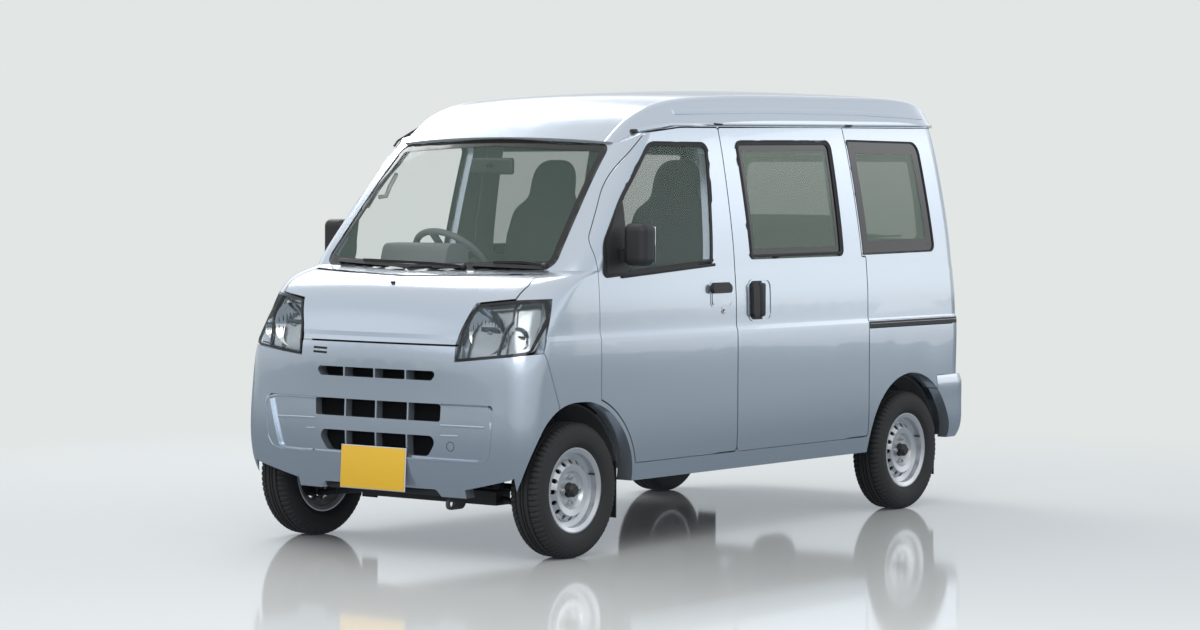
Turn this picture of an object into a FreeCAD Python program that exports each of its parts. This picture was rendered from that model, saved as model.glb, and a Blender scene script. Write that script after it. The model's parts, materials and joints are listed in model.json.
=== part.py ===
"""Kei van: a high-roof, cab-over kei cargo van with right-hand drive.

Units are millimetres.  +Z is up, the front faces -Y and the vehicle's left side is +X.
The origin is on the floor, under the centre of the bounding box.
"""
import FreeCAD
import Part
import math
import os

Vec = FreeCAD.Vector

# Overall sizes
LENGTH = 3395.0
WIDTH = 1476.0
HEIGHT = 1875.0
WHEELBASE = 2450.0
FRONT_OVERHANG = 380.0
TRACK = 1304.0
NOSE_Y = -LENGTH / 2
TAIL_Y = LENGTH / 2
FRONT_AXLE_Y = NOSE_Y + FRONT_OVERHANG
REAR_AXLE_Y = FRONT_AXLE_Y + WHEELBASE

# Wheels
TYRE_RADIUS = 265.0
TYRE_WIDTH = 145.0
RIM_RADIUS = 167.0
RIM_WIDTH = 112.0
WHEEL_OFFSET = 34.0
HUB_Z = TYRE_RADIUS
WHEEL_X = TRACK / 2

# Body walls and gaps
DOOR_THICK = 50.0
SEAL_GAP = 6.0
PANEL_GAP = 6.0
SEAM = 3.0
HINGE_X = 706.0
DOOR_HINGE_Z = (655.0, 990.0)
HOOD_HINGE_X = 470.0
HOOD_SEAT = 14.0
TAILGATE_HINGE_X = 350.0
FRAME_THICK = 18.0
GLASS_INSET = 4.0
GLASS_THICK = 5.0
GLASS_GAP = 0.3
ROOF_THICK = 28.0
REACH = 1100.0
FRONT_ARCH_RADIUS = 331.0
REAR_ARCH_RADIUS = 351.0
STEER_ANGLE = 33.0

# Body sections by height. Columns: z, side tuck from the widest point, nose set back from the
# front tip, radius of the bowed front, front corner radius, tail set forward, rear corner radius.
LOWER_BODY = (
    (240, 26.0, 40, 6500, 85, 95, 95),
    (300, 12.0, 22, 6500, 88, 85, 98),
    (380, 3.0, 6, 6500, 90, 75, 100),
    (480, 0.0, 0, 6500, 92, 65, 105),
    (700, 0.5, 5, 6000, 115, 54, 110),
    (852, 2.5, 17, 4200, 150, 54, 110),
)
UPPER_BODY = (
    (870, 9.5, 19, 4000, 155, 55, 110),
    (930, 10.5, 32, 3200, 172, 58, 110),
    (1000, 12.5, 59, 2600, 198, 64, 110),
    (1045, 15.5, 96, 2300, 195, 68, 110),
    (1078, 18.0, 148, 2050, 180, 71, 110),
    (1100, 20.0, 215, 1900, 163, 74, 110),
    (1117, 21.5, 281, 1800, 150, 76, 110),
)
GREENHOUSE = (
    (1117, 21.5, 281, 1800, 150, 76, 110),
    (1250, 34.0, 399, 1950, 138, 85, 110),
    (1385, 53.5, 525, 2050, 125, 96, 110),
    (1500, 72.5, 636, 2150, 112, 108, 110),
    (1620, 95.5, 761, 2200, 100, 122, 110),
    (1726, 121.0, 859, 2250, 95, 138, 110),
)
TAIL_BOW_RADIUS = 5000.0

# Roof sections by station. Columns: y behind the front axle, crown drop from the full height,
# drop of the shoulder, shoulder half width.
ROOF_STATIONS = (
    (366, 247, 330, 541),
    (410, 206, 290, 545),
    (470, 150, 240, 549),
    (560, 100, 178, 553),
    (700, 66, 122, 556),
    (1000, 38, 78, 560),
    (1650, 7, 54, 562),
    (2300, 0, 46, 562),
    (2660, 4, 52, 562),
    (2800, 20, 76, 558),
    (2874, 52, 118, 548),
)
ROOF_BASE_Z = 1480.0
DRIP_HALF_WIDTH = 624.0


def aft(y):
    """Model y of a point this far behind the front axle."""
    return FRONT_AXLE_Y + y


def box(x0, x1, y0, y1, z0, z1):
    return Part.makeBox(x1 - x0, y1 - y0, z1 - z0, Vec(x0, y0, z0))


def rod(start, end, radius):
    """Round bar between two points."""
    a = Vec(*start)
    b = Vec(*end)
    return Part.makeCylinder(radius, (b - a).Length, a, b - a)


def mirrored(shape):
    return shape.mirror(Vec(0, 0, 0), Vec(1, 0, 0))


def fused(shapes):
    """One solid from touching or crossing ones."""
    first = shapes[0]
    rest = shapes[1:]
    return first.fuse(rest).removeSplitter() if rest else first


def rounded_face(points, place):
    """Flat face through (u, v, radius) corners; place maps u, v to a 3-D point."""
    n = len(points)
    edges = []
    ends = []
    for i, (u, v, radius) in enumerate(points):
        here = place(u, v)
        before = (place(*points[i - 1][:2]) - here)
        after = (place(*points[(i + 1) % n][:2]) - here)
        before.normalize()
        after.normalize()
        half = before.getAngle(after) / 2
        if radius <= 0 or half > math.pi / 2 - 0.01:
            ends.append((here, here, None))
            continue
        run = radius / math.tan(half)
        middle = before + after
        middle.normalize()
        centre = here + middle * (radius / math.sin(half))
        ends.append((here + before * run, here + after * run, centre - middle * radius))
    for i, (start, end, middle) in enumerate(ends):
        if middle is not None:
            edges.append(Part.Arc(start, middle, end).toShape())
        following = ends[(i + 1) % n][0]
        if (following - end).Length > 0.01:
            edges.append(Part.LineSegment(end, following).toShape())
    return Part.Face(Part.Wire(edges))


def side_prism(points, x0, x1):
    """Prism along X from (distance behind the front axle, z, corner radius) points."""
    face = rounded_face(points, lambda y, z: Vec(x0, aft(y), z))
    return face.extrude(Vec(x1 - x0, 0, 0))


def front_prism(points, y0, y1):
    """Prism along Y from (x, z, corner radius) points."""
    face = rounded_face(points, lambda x, z: Vec(x, y0, z))
    return face.extrude(Vec(0, y1 - y0, 0))


def grown(points, by):
    """Outline with every side moved outwards by this much; corner radii follow."""
    n = len(points)
    area = sum(points[i - 1][0] * points[i][1] - points[i][0] * points[i - 1][1] for i in range(n))
    turn = 1.0 if area > 0 else -1.0
    result = []
    for i in range(n):
        u, v, radius = points[i]
        a = (u - points[i - 1][0], v - points[i - 1][1])
        b = (points[(i + 1) % n][0] - u, points[(i + 1) % n][1] - v)
        la = math.hypot(*a)
        lb = math.hypot(*b)
        na = (a[1] / la * turn, -a[0] / la * turn)
        nb = (b[1] / lb * turn, -b[0] / lb * turn)
        scale = by / (1 + na[0] * nb[0] + na[1] * nb[1])
        convex = (a[0] * b[1] - a[1] * b[0]) * turn > 0
        corner = max(radius + (by if convex else -by), 0.0) if radius > 0 else 0.0
        result.append((u + (na[0] + nb[0]) * scale, v + (na[1] + nb[1]) * scale, corner))
    return result


def plan_wire(row, inset):
    """Body section at one height: bowed front, four rounded corners, straight sides, bowed tail."""
    z, tuck, set_back, bow, front_corner, set_forward, rear_corner = row
    half = WIDTH / 2 - tuck - inset
    corners = []
    for nose, radius, corner, way in (
            (NOSE_Y + set_back + inset, bow - inset, front_corner - inset, 1),
            (TAIL_Y - set_forward - inset, TAIL_BOW_RADIUS - inset, rear_corner - inset, -1)):
        corner = max(corner, 12.0)
        centre_y = nose + way * radius
        reach = half - corner
        fillet_y = centre_y - way * math.sqrt((radius - corner) ** 2 - reach ** 2)
        lean = math.asin(reach / (radius - corner))
        bow_end = (radius * math.sin(lean), centre_y - way * radius * math.cos(lean))
        turn = (lean + math.pi / 2) / 2
        middle = (reach + corner * math.sin(turn), fillet_y - way * corner * math.cos(turn))
        corners.append((nose, bow_end, middle, fillet_y))
    (nose, f_end, f_mid, f_side), (tail, r_end, r_mid, r_side) = corners

    def at(x, y):
        return Vec(x, y, z)
    edges = [
        Part.Arc(at(-f_end[0], f_end[1]), at(0, nose), at(*f_end)),
        Part.Arc(at(*f_end), at(*f_mid), at(half, f_side)),
        Part.LineSegment(at(half, f_side), at(half, r_side)),
        Part.Arc(at(half, r_side), at(*r_mid), at(*r_end)),
        Part.Arc(at(*r_end), at(0, tail), at(-r_end[0], r_end[1])),
        Part.Arc(at(-r_end[0], r_end[1]), at(-r_mid[0], r_mid[1]), at(-half, r_side)),
        Part.LineSegment(at(-half, r_side), at(-half, f_side)),
        Part.Arc(at(-half, f_side), at(-f_mid[0], f_mid[1]), at(-f_end[0], f_end[1])),
    ]
    return Part.Wire([e.toShape() for e in edges])


def loft(wires):
    return Part.makeLoft(wires, True, False)


def band(rows, inset):
    return loft([plan_wire(row, inset) for row in rows])


def body_form(inset):
    """The whole body below the drip rail, every wall moved inwards by the inset."""
    ledge = Part.makeLoft([plan_wire(LOWER_BODY[-1], inset), plan_wire(UPPER_BODY[0], inset)], True, True)
    return fused([band(LOWER_BODY, inset), ledge, band(UPPER_BODY, inset), band(GREENHOUSE, inset)])


def roof_wire(station, inset):
    """Roof section at one station: low sides, rounded shoulders and a crowned top."""
    y, crown_drop, shoulder_drop, shoulder_x = station
    top = HEIGHT - crown_drop - inset
    shoulder = HEIGHT - shoulder_drop - inset
    xs = shoulder_x - inset
    low = DRIP_HALF_WIDTH + 60 - inset
    hip = DRIP_HALF_WIDTH - inset
    hip_z = shoulder - (DRIP_HALF_WIDTH - shoulder_x) * 1.45

    def at(x, z):
        return Vec(x, aft(y), z)
    crown_x = xs - 34
    crown_z = shoulder + 20
    bulge = (xs - 11, shoulder + 14.5)
    edges = [
        Part.LineSegment(at(-low, ROOF_BASE_Z - 100), at(low, ROOF_BASE_Z - 100)),
        Part.LineSegment(at(low, ROOF_BASE_Z - 100), at(hip, hip_z)),
        Part.LineSegment(at(hip, hip_z), at(xs, shoulder)),
        Part.Arc(at(xs, shoulder), at(*bulge), at(crown_x, crown_z)),
        Part.Arc(at(crown_x, crown_z), at(0, top), at(-crown_x, crown_z)),
        Part.Arc(at(-crown_x, crown_z), at(-bulge[0], bulge[1]), at(-xs, shoulder)),
        Part.LineSegment(at(-xs, shoulder), at(-hip, hip_z)),
        Part.LineSegment(at(-hip, hip_z), at(-low, ROOF_BASE_Z - 100)),
    ]
    return Part.Wire([e.toShape() for e in edges])


def roof_form(inset):
    return loft([roof_wire(station, inset) for station in ROOF_STATIONS])


# Side outlines: (distance behind the front axle, z, corner radius), each the middle of a panel gap
DOOR_LOW_Z = 351.0
B_GAP = 1070.0
SLIDE_GAP = 2092.0
FRONT_DOOR = (
    (128, DOOR_LOW_Z, 10), (128, 1230, 110), (326, 1489, 800), (554.5, 1664, 130), (800, 1689, 600),
    (B_GAP, 1693, 16), (B_GAP, DOOR_LOW_Z, 22),
)
SLIDE_DOOR = (
    (B_GAP, DOOR_LOW_Z, 22), (B_GAP, 1693, 16), (2030, 1712, 16), (2057, 1143, 8), (SLIDE_GAP, 1143, 10),
    (SLIDE_GAP, DOOR_LOW_Z, 22),
)
FRONT_WINDOW = (
    (158, 1085, 30), (176, 1218, 150), (330, 1410, 700), (562, 1628, 90), (974, 1630, 45), (914, 1131, 30),
)
SLIDE_WINDOW = ((1186, 1143, 32), (1172, 1640, 42), (1906, 1651, 42), (1906, 1147, 32))
QUARTER_WINDOW = ((2066, 1149, 12), (2042, 1655, 12), (2640, 1653, 60), (2676, 1157, 34))
FRONT_ZONE = (
    (-600, 150, 0), (128, 150, 0), (128, 1230, 110), (326, 1489, 800), (554.5, 1664, 0), (554.5, 1760, 0),
    (-600, 1760, 0),
)
ROOF_ZONE = (
    (200, 1714, 0), (452, 1620, 30), (545, 1661, 30), (765, 1692, 0), (2716, 1719, 0), (3200, 1723, 0),
    (3200, 1950, 0), (200, 1950, 0),
)
FRONT_ARCH = ((-302, 150, 0), (-316, 300, 20), (-316, 610, 290), (349, 610, 335), (349, 150, 0))
ARCH_LIP = 18.0
SILL_LOW_Z = 279.0
APERTURE_FLANGE = 36.0
HEM_THICK = 12.0
HEM_STEP = 14.0

# Front outlines: (x, z, corner radius)
HOOD_THICK = 22.0
HOOD_HALF = ((0, 828), (396, 828), (413, 892), (450, 990), (603, 1008), (612, 1063), (586, 1106), (0, 1092))
LAMP_FRONT = (
    (396, 768, 16), (413, 892, 0), (450, 990, 0), (603, 1008, 0), (790, 1018, 0), (790, 815, 0),
    (639, 794, 0),
)
LAMP_SIDE = (
    (-420, 740, 0), (-250, 760, 0), (-229, 810, 0), (-142, 1014, 0), (-150, 1060, 0), (-420, 1060, 0),
)
BUMPER_HALF = ((0, 200), (790, 200), (790, 815), (639, 794), (396, 768), (396, 828), (0, 828))
BUMPER_SIDE = (
    (-500, 150, 0), (-139, 150, 0), (-139, 600, 0), (-229, 810, 0), (-232, 870, 0), (-500, 870, 0),
)
BUMPER_RECESS = ((-583, 605, 12), (583, 605, 12), (519, 389, 30), (-519, 389, 30))
RECESS_DEPTH = 14.0
BUMPER_NOTCH = ((-345, 190, 0), (-292, 268, 20), (292, 268, 20), (345, 190, 0))
BEHIND_LAMPS = ((-470, 700, 0), (470, 700, 0), (430, 970, 0), (-430, 970, 0))
WINDSHIELD = (
    (-599, 1120, 45), (-541, 1616, 45), (0, 1641, 0), (541, 1616, 45), (599, 1120, 45), (0, 1104, 0),
)
WINDSHIELD_REACH = 520.0
PILLAR_CLEAR = 14.0
PILLAR_REACH = 700.0
# Where the door's front corner swings back past its pillar: y from, y to, z from, z to, and inner half width.
HINGE_RELIEF = (90, 290, 1145, 1350, 668)
WIPERS = (((-510, 1134), (-60, 1119), (200, 1121)), ((250, 1130), (556, 1122)))

# Grille rows. Columns: lower z, upper z, half width at the bottom, at the top, corner radius.
GRILLE_ROWS = (
    (692, 729, 286, 318, 14),
    (533, 602, 322, 324, 12),
    (397, 477, 262, 316, 26),
)
GRILLE_CELLS = 4
GRILLE_BAR = 8.0

# Rear outlines: (x, z, corner radius)
TAILGATE = (
    (-600, 610, 40), (-612, 1135, 600), (-562, 1712, 40), (562, 1712, 40), (612, 1135, 600), (600, 610, 40),
)
TAILGATE_WINDOW = (
    (-520, 1175, 60), (-484, 1600, 70), (484, 1600, 70), (520, 1175, 60),
)
TAIL_LAMP = ((630, 640, 8), (630, 960, 8), (686, 960, 14), (686, 640, 14))
TAIL_LAMP_DEPTH = 36.0
REAR_BUMPER_FRONT = 2676.0
REAR_BUMPER_ROWS = (
    (302, 26.0, 900, 6500, 100, 24, 100),
    (350, 6.0, 900, 6500, 100, 7, 108),
    (440, 1.0, 900, 6500, 100, 0, 115),
    (500, 1.0, 900, 6500, 100, 0, 115),
    (560, 1.0, 900, 6500, 100, 3, 115),
    (592, 7.0, 900, 6500, 100, 14, 112),
)
REAR_BUMPER_TOP = 592.0
SHELF_THICK = 15.0

# Floor
FLOOR_Z = 630.0
FLOOR_THICK = 28.0
FOOTWELL_Z = 430.0
FOOTWELL_END = 420.0
TOE_FRONT = -205.0
TOE_TOP = 800.0
FLOOR_REAR = 2860.0
LOAD_UNDERSIDE = FLOOR_Z - FLOOR_THICK - 0.3
WHEELHOUSE_IN = 436.0
LINER_THICK = 5.0
LINER_OUT = 668.0
LINER_DROP_FRONT = 90.0
LINER_DROP_REAR = 60.0
RAIL_X = 330.0
RAIL_WIDTH = 60.0
RAIL_LOW_Z = 512.0
FRONT_RAIL_LOW_Z = 322.0
TOW_EYE_THICK = 14.0
TOW_EYE_RADIUS = 15.0
TOW_EYE = (-296.0, 212.0)
TOW_HOOK = (
    (-205, 340, 0), (-150, 340, 0), (-225, 188, 30), (-322, 188, 22), (-322, 234, 20), (-262, 236, 20),
)
LOAD_PAD_HALF = 555.0
LOAD_PAD = (2180.0, 2790.0)
LOAD_PAD_TOP = FLOOR_Z + 6.0


def both_sides(half):
    """Outline across the middle from its right half, given from one centre point to the other."""
    left = [(-x, z, 0) for x, z in reversed(half[1:-1])]
    return [(x, z, 0) for x, z in half] + left


def wheel_well(y, radius, x0, x1):
    return Part.makeCylinder(radius, x1 - x0, Vec(x0, y, HUB_Z), Vec(1, 0, 0))


def front_arch(by, x0, x1):
    """Prism through the front wheel opening, grown by this much."""
    return side_prism(grown(FRONT_ARCH, by), x0, x1)


class Body:
    """The forms that every panel is cut from."""

    def __init__(self):
        seat = DOOR_THICK + SEAL_GAP
        self.skin = body_form(0)
        self.door_back = body_form(DOOR_THICK)
        self.seal_face = body_form(seat)
        self.cabin = body_form(seat + FRAME_THICK)
        self.shell = self.skin.cut(self.door_back)
        self.wall = self.skin.cut(self.cabin)
        self.glass = body_form(GLASS_INSET).cut(body_form(GLASS_INSET + GLASS_THICK))
        self.roof_zone = side_prism(ROOF_ZONE, -REACH, REACH)


def side_rebate(body, outline):
    """What a side door takes out of the wall: its outline down to the seal, then the aperture."""
    outer = side_prism(grown(outline, PANEL_GAP / 2), 200, REACH).cut(body.seal_face)
    inner = side_prism(grown(outline, -APERTURE_FLANGE), 200, REACH)
    return [outer, inner]


def side_door(body, outline, window):
    door = body.shell.common(side_prism(grown(outline, -PANEL_GAP / 2), 200, REACH))
    door = door.cut(side_prism(window, 200, REACH))
    return door


def side_pane(body, window):
    return body.glass.common(side_prism(grown(window, -GLASS_GAP), 200, REACH))


def front_door(body):
    """Front door; its inner box stops short of the rear edge, which leaves a hemmed flange."""
    door = side_door(body, FRONT_DOOR, FRONT_WINDOW)
    flange_y = aft(B_GAP) - PANEL_GAP / 2 - HEM_STEP
    behind = box(200, REACH, flange_y, flange_y + DOOR_THICK, 0, HEIGHT)
    return door.cut([front_arch(ARCH_LIP + PANEL_GAP, 200, REACH), body_form(HEM_THICK).common(behind),
                     behind_windshield()])


def behind_windshield():
    """What the doors and side frames leave open behind the windscreen, up to its pillars."""
    return front_prism(grown(WINDSHIELD, PILLAR_CLEAR), NOSE_Y, aft(PILLAR_REACH))


def side_frame(body):
    """Sill, pillars, rail over the doors and the quarter panel of the left side, as one pressing."""
    low = SILL_LOW_Z
    side = body.wall.common(box(0, REACH, NOSE_Y, TAIL_Y + 50, low, HEIGHT))
    cuts = [side_prism(FRONT_ZONE, -REACH, REACH), body.roof_zone]
    outer, inner = side_rebate(body, FRONT_DOOR)
    cuts.append(outer.cut(front_arch(ARCH_LIP, 200, REACH)))
    cuts.append(inner.cut(front_arch(ARCH_LIP + APERTURE_FLANGE, 200, REACH)))
    cuts += side_rebate(body, SLIDE_DOOR)
    cuts.append(side_prism(QUARTER_WINDOW, 200, REACH))
    cuts.append(front_arch(0, 200, REACH))
    cuts.append(behind_windshield())
    y0, y1, z0, z1, half = HINGE_RELIEF
    cuts.append(box(0, half, aft(y0), aft(y1), z0, z1))
    cuts.append(wheel_well(REAR_AXLE_Y, REAR_ARCH_RADIUS, 200, REACH))
    cuts.append(front_prism(grown(TAILGATE, PANEL_GAP / 2), aft(2600), TAIL_Y + 50).cut(body.seal_face))
    cuts.append(front_prism(grown(TAILGATE, -APERTURE_FLANGE), aft(2600), TAIL_Y + 50))
    lamp = front_prism(grown(TAIL_LAMP, GLASS_GAP), aft(2700), TAIL_Y + 50)
    cuts.append(lamp.cut(body_form(TAIL_LAMP_DEPTH)))
    cuts.append(box(-REACH, REACH, aft(REAR_BUMPER_FRONT) - PANEL_GAP / 2, TAIL_Y + 50, 0,
                    REAR_BUMPER_TOP + PANEL_GAP / 2))
    side = side.cut(cuts)
    low_z = TAILGATE[2][1] - PANEL_GAP / 2 + GLASS_GAP
    leaf = body.shell.common(box(TAILGATE_HINGE_X - 24, TAILGATE_HINGE_X + 24, aft(2600), TAIL_Y, low_z, low_z + 9))
    return fused([side, leaf.cut(body_form(8))])


def front_body(body):
    """Wings, cowl and windscreen pillars in front of the doors."""
    front = body.shell.common(side_prism(FRONT_ZONE, -REACH, REACH))
    cuts = [body.roof_zone]
    cuts.append(front_prism(both_sides(HOOD_HALF), NOSE_Y - 50, aft(60)))
    lamp = headlamp_zone(0)
    cuts += [lamp, mirrored(lamp), bumper_zone(SEAM / 2)]
    cuts.append(front_prism(BEHIND_LAMPS, NOSE_Y - 50, aft(-80)))
    cuts.append(front_prism(WINDSHIELD, NOSE_Y, aft(WINDSHIELD_REACH)))
    cuts.append(front_arch(0, -REACH, REACH))
    front = front.cut(cuts)
    leaves = [box(HINGE_X - 10, HINGE_X + 10, aft(112), aft(128) + PANEL_GAP / 2 - GLASS_GAP, z - 32, z + 32)
              for z in DOOR_HINGE_Z]
    leaves += [mirrored(leaf) for leaf in leaves]
    under = body_form(HOOD_THICK + GLASS_GAP).cut(body_form(HOOD_THICK + HOOD_SEAT))
    leaves += [under.common(box(x - 24, x + 24, NOSE_Y, aft(60), 1070, 1112))
               for x in (-HOOD_HINGE_X, HOOD_HINGE_X)]
    return fused([front] + leaves)


def headlamp_zone(gap):
    across = front_prism(grown(LAMP_FRONT, gap), NOSE_Y - 50, aft(-60))
    along = side_prism(grown(LAMP_SIDE, gap), 200, REACH)
    return across.common(along)


def bumper_zone(gap):
    across = front_prism(grown(both_sides(BUMPER_HALF), gap), NOSE_Y - 50, aft(-60))
    along = side_prism(grown(BUMPER_SIDE, gap), -REACH, REACH)
    return across.common(along)


def hood_panel(body):
    zone = front_prism(grown(both_sides(HOOD_HALF), -PANEL_GAP), NOSE_Y - 50, aft(60))
    return body.skin.common(zone).cut(body_form(HOOD_THICK))


def headlamps(body):
    lamp = body.shell.common(headlamp_zone(-GLASS_GAP))
    return Part.makeCompound([lamp, mirrored(lamp)])


def grille_cells():
    """Openings between the upright bars, row by row."""
    cells = []
    for low, high, half_low, half_high, radius in GRILLE_ROWS:
        for i in range(GRILLE_CELLS):
            a = 2.0 * i / GRILLE_CELLS - 1
            b = 2.0 * (i + 1) / GRILLE_CELLS - 1
            trim_a = 0 if i == 0 else GRILLE_BAR / 2
            trim_b = 0 if i == GRILLE_CELLS - 1 else GRILLE_BAR / 2
            first = radius if i == 0 else 4
            last = radius if i == GRILLE_CELLS - 1 else 4
            low_a = a * (half_low if a in (-1, 1) else half_high) + trim_a
            low_b = b * (half_low if b in (-1, 1) else half_high) - trim_b
            cells.append(((low_a, low, first), (a * half_high + trim_a, high, first),
                          (b * half_high - trim_b, high, last), (low_b, low, last)))
    return cells


def front_bumper(body):
    zone = bumper_zone(-SEAM / 2)
    bumper = body.shell.common(zone)
    recess = front_prism(BUMPER_RECESS, NOSE_Y - 50, aft(-200)).cut(body_form(RECESS_DEPTH))
    liner = wheel_well(FRONT_AXLE_Y, FRONT_ARCH_RADIUS + LINER_THICK + GLASS_GAP,
                       WHEELHOUSE_IN - LINER_THICK - GLASS_GAP, LINER_OUT + GLASS_GAP)
    arch = front_arch(0, WHEELHOUSE_IN, REACH)
    cuts = [recess, liner, mirrored(liner), arch, mirrored(arch)]
    cuts.append(front_prism(BUMPER_NOTCH, NOSE_Y - 50, aft(-200)))
    cuts += [front_prism(cell, NOSE_Y - 50, aft(-200)) for cell in grille_cells()]
    return bumper.cut(cuts)


def grille_insert(body):
    """Dark panel behind the openings, seated on the back of the bumper."""
    back = DOOR_THICK + GLASS_GAP
    panel = body_form(back).cut(body_form(back + 8))
    return panel.common(box(-350, 350, NOSE_Y, aft(-200), 375, 752))


def windshield(body):
    zone = front_prism(grown(WINDSHIELD, -GLASS_GAP), NOSE_Y, aft(WINDSHIELD_REACH))
    return body.glass.common(zone).cut(body.roof_zone)


def roof_panel(body):
    hollow = roof_form(ROOF_THICK).common(box(-REACH, REACH, NOSE_Y, aft(ROOF_STATIONS[-1][0]) - ROOF_THICK, 0, HEIGHT))
    whole = roof_form(0).cut(hollow)
    return whole.common(body.roof_zone)


def tailgate_panel(body):
    zone = front_prism(grown(TAILGATE, -PANEL_GAP / 2), aft(2600), TAIL_Y + 50)
    panel = body.shell.common(zone)
    return panel.cut(front_prism(TAILGATE_WINDOW, aft(2600), TAIL_Y + 50))


def tailgate_glass(body):
    return body.glass.common(front_prism(grown(TAILGATE_WINDOW, -GLASS_GAP), aft(2600), TAIL_Y + 50))


def tail_lamps():
    zone = front_prism(TAIL_LAMP, aft(2700), TAIL_Y + 50)
    lamp = body_form(0).cut(body_form(TAIL_LAMP_DEPTH - GLASS_GAP)).common(zone)
    return Part.makeCompound([lamp, mirrored(lamp)])


def rear_bumper(body):
    outer = band(REAR_BUMPER_ROWS, 0)
    bumper = outer.cut(band([(r[0] + (0 if i else -5),) + r[1:] for i, r in enumerate(REAR_BUMPER_ROWS)], DOOR_THICK))
    shelf = outer.common(box(-REACH, REACH, aft(2600), TAIL_Y, REAR_BUMPER_TOP - SHELF_THICK, REAR_BUMPER_TOP))
    arms = [box(x - RAIL_WIDTH / 2, x + RAIL_WIDTH / 2, aft(FLOOR_REAR) + GLASS_GAP, aft(FLOOR_REAR + 70), 520,
                REAR_BUMPER_TOP - 5) for x in (RAIL_X, -RAIL_X)]
    bumper = fused([bumper, shelf.cut(body.door_back)] + arms)
    zone = box(-REACH, REACH, aft(REAR_BUMPER_FRONT) + PANEL_GAP / 2, TAIL_Y + 50, 0, HEIGHT)
    return bumper.common(zone).cut(wheel_well(REAR_AXLE_Y, REAR_ARCH_RADIUS, -REACH, REACH))


def floor_pan():
    """Stepped floor: toe board, footwell, seat step and load floor, on two frame rails."""
    t = FLOOR_THICK
    low = side_prism((
        (TOE_FRONT, TOE_TOP, 0), (TOE_FRONT, FOOTWELL_Z - t, 20), (FOOTWELL_END + t, FOOTWELL_Z - t, 8),
        (FOOTWELL_END + t, FLOOR_Z - t, 0), (FOOTWELL_END + t, FLOOR_Z, 0), (FOOTWELL_END, FLOOR_Z, 0),
        (FOOTWELL_END, FOOTWELL_Z, 8), (TOE_FRONT + t, FOOTWELL_Z, 20), (TOE_FRONT + t, TOE_TOP, 0),
    ), -WHEELHOUSE_IN + LINER_THICK, WHEELHOUSE_IN - LINER_THICK)
    room = body_form(DOOR_THICK + SEAL_GAP + FRAME_THICK + GLASS_GAP)
    load = room.common(box(-REACH, REACH, aft(FOOTWELL_END), TAIL_Y, FLOOR_Z - t, FLOOR_Z))
    pieces = [low, load]
    for side in (1, -1):
        a = side * RAIL_X - RAIL_WIDTH / 2
        b = side * RAIL_X + RAIL_WIDTH / 2
        pieces.append(box(a, b, aft(FOOTWELL_END), aft(FLOOR_REAR), RAIL_LOW_Z, FLOOR_Z - t))
        pieces.append(box(a, b, aft(TOE_FRONT), aft(FOOTWELL_END + t), FRONT_RAIL_LOW_Z, FOOTWELL_Z - t))
        pieces.append(box(a, b, aft(FOOTWELL_END), aft(FOOTWELL_END + 2.5 * t), FRONT_RAIL_LOW_Z, FLOOR_Z - t))
    eye = side_prism(TOW_HOOK, RAIL_X - TOW_EYE_THICK / 2, RAIL_X + TOW_EYE_THICK / 2)
    hole = Part.makeCylinder(TOW_EYE_RADIUS, 40, Vec(RAIL_X - 20, aft(TOW_EYE[0]), TOW_EYE[1]), Vec(1, 0, 0))
    pieces.append(eye.cut(hole))
    pieces.append(box(-LOAD_PAD_HALF, LOAD_PAD_HALF, aft(LOAD_PAD[0]), aft(LOAD_PAD[1]), FLOOR_Z, LOAD_PAD_TOP))
    return fused(pieces)


def front_wheelhouses():
    """Front wheelhouses: a rolled liner and an inner wall on each side of the footwell."""
    outer_x = LINER_OUT
    ring = wheel_well(FRONT_AXLE_Y, FRONT_ARCH_RADIUS + LINER_THICK, WHEELHOUSE_IN, outer_x)
    ring = ring.cut(wheel_well(FRONT_AXLE_Y, FRONT_ARCH_RADIUS, WHEELHOUSE_IN, outer_x))
    wall = wheel_well(FRONT_AXLE_Y, FRONT_ARCH_RADIUS + LINER_THICK, WHEELHOUSE_IN - LINER_THICK, WHEELHOUSE_IN)
    house = fused([ring, wall]).common(box(0, REACH, NOSE_Y, TAIL_Y, HUB_Z + LINER_DROP_FRONT, HEIGHT))
    return [house, mirrored(house)]


def rear_wheelhouses():
    outer_x = WIDTH / 2 - DOOR_THICK - SEAL_GAP - FRAME_THICK - 1.0
    radius = FLOOR_Z - FLOOR_THICK - HUB_Z - GLASS_GAP
    inner_x = WHEEL_X - TYRE_WIDTH / 2 - 42
    ring = wheel_well(REAR_AXLE_Y, radius, inner_x, outer_x)
    ring = ring.cut(wheel_well(REAR_AXLE_Y, radius - LINER_THICK, inner_x, outer_x))
    ring = ring.common(box(0, REACH, NOSE_Y, TAIL_Y, HUB_Z + LINER_DROP_REAR, HEIGHT))
    return [ring, mirrored(ring)]


# Wheels. Rim section columns: distance outboard of the tyre's middle plane, radius.
RIM_BARREL = (
    (57, 167), (51, 167), (46, 153), (24, 151), (12, 129), (-18, 129), (-30, 151), (-46, 153), (-51, 167),
    (-57, 167), (-57, 162), (-50, 146), (-33, 144), (-21, 123), (16, 123), (27, 144), (50, 146), (57, 162),
)
RIM_DISC = (
    (16, 125), (24, 120), (44, 100), (40, 76), (26, 66), (26, 30), (21, 30), (21, 68), (35, 79), (38, 98),
    (19, 113), (4, 124.5),
)
RIM_HOLES = 16
RIM_HOLE_RADIUS = 9.5
RIM_HOLE_CIRCLE = 110.0
NUT_CIRCLE = 50.0
NUT_COUNT = 4
TYRE_OUTER = ((45.7, 153.3), (50.6, 167.3), (57, 167.6), (70, 190), (72.5, 212), (69, 236), (58, 257), (46, 264), (0, 265))
TYRE_WALL = 11.0


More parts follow.
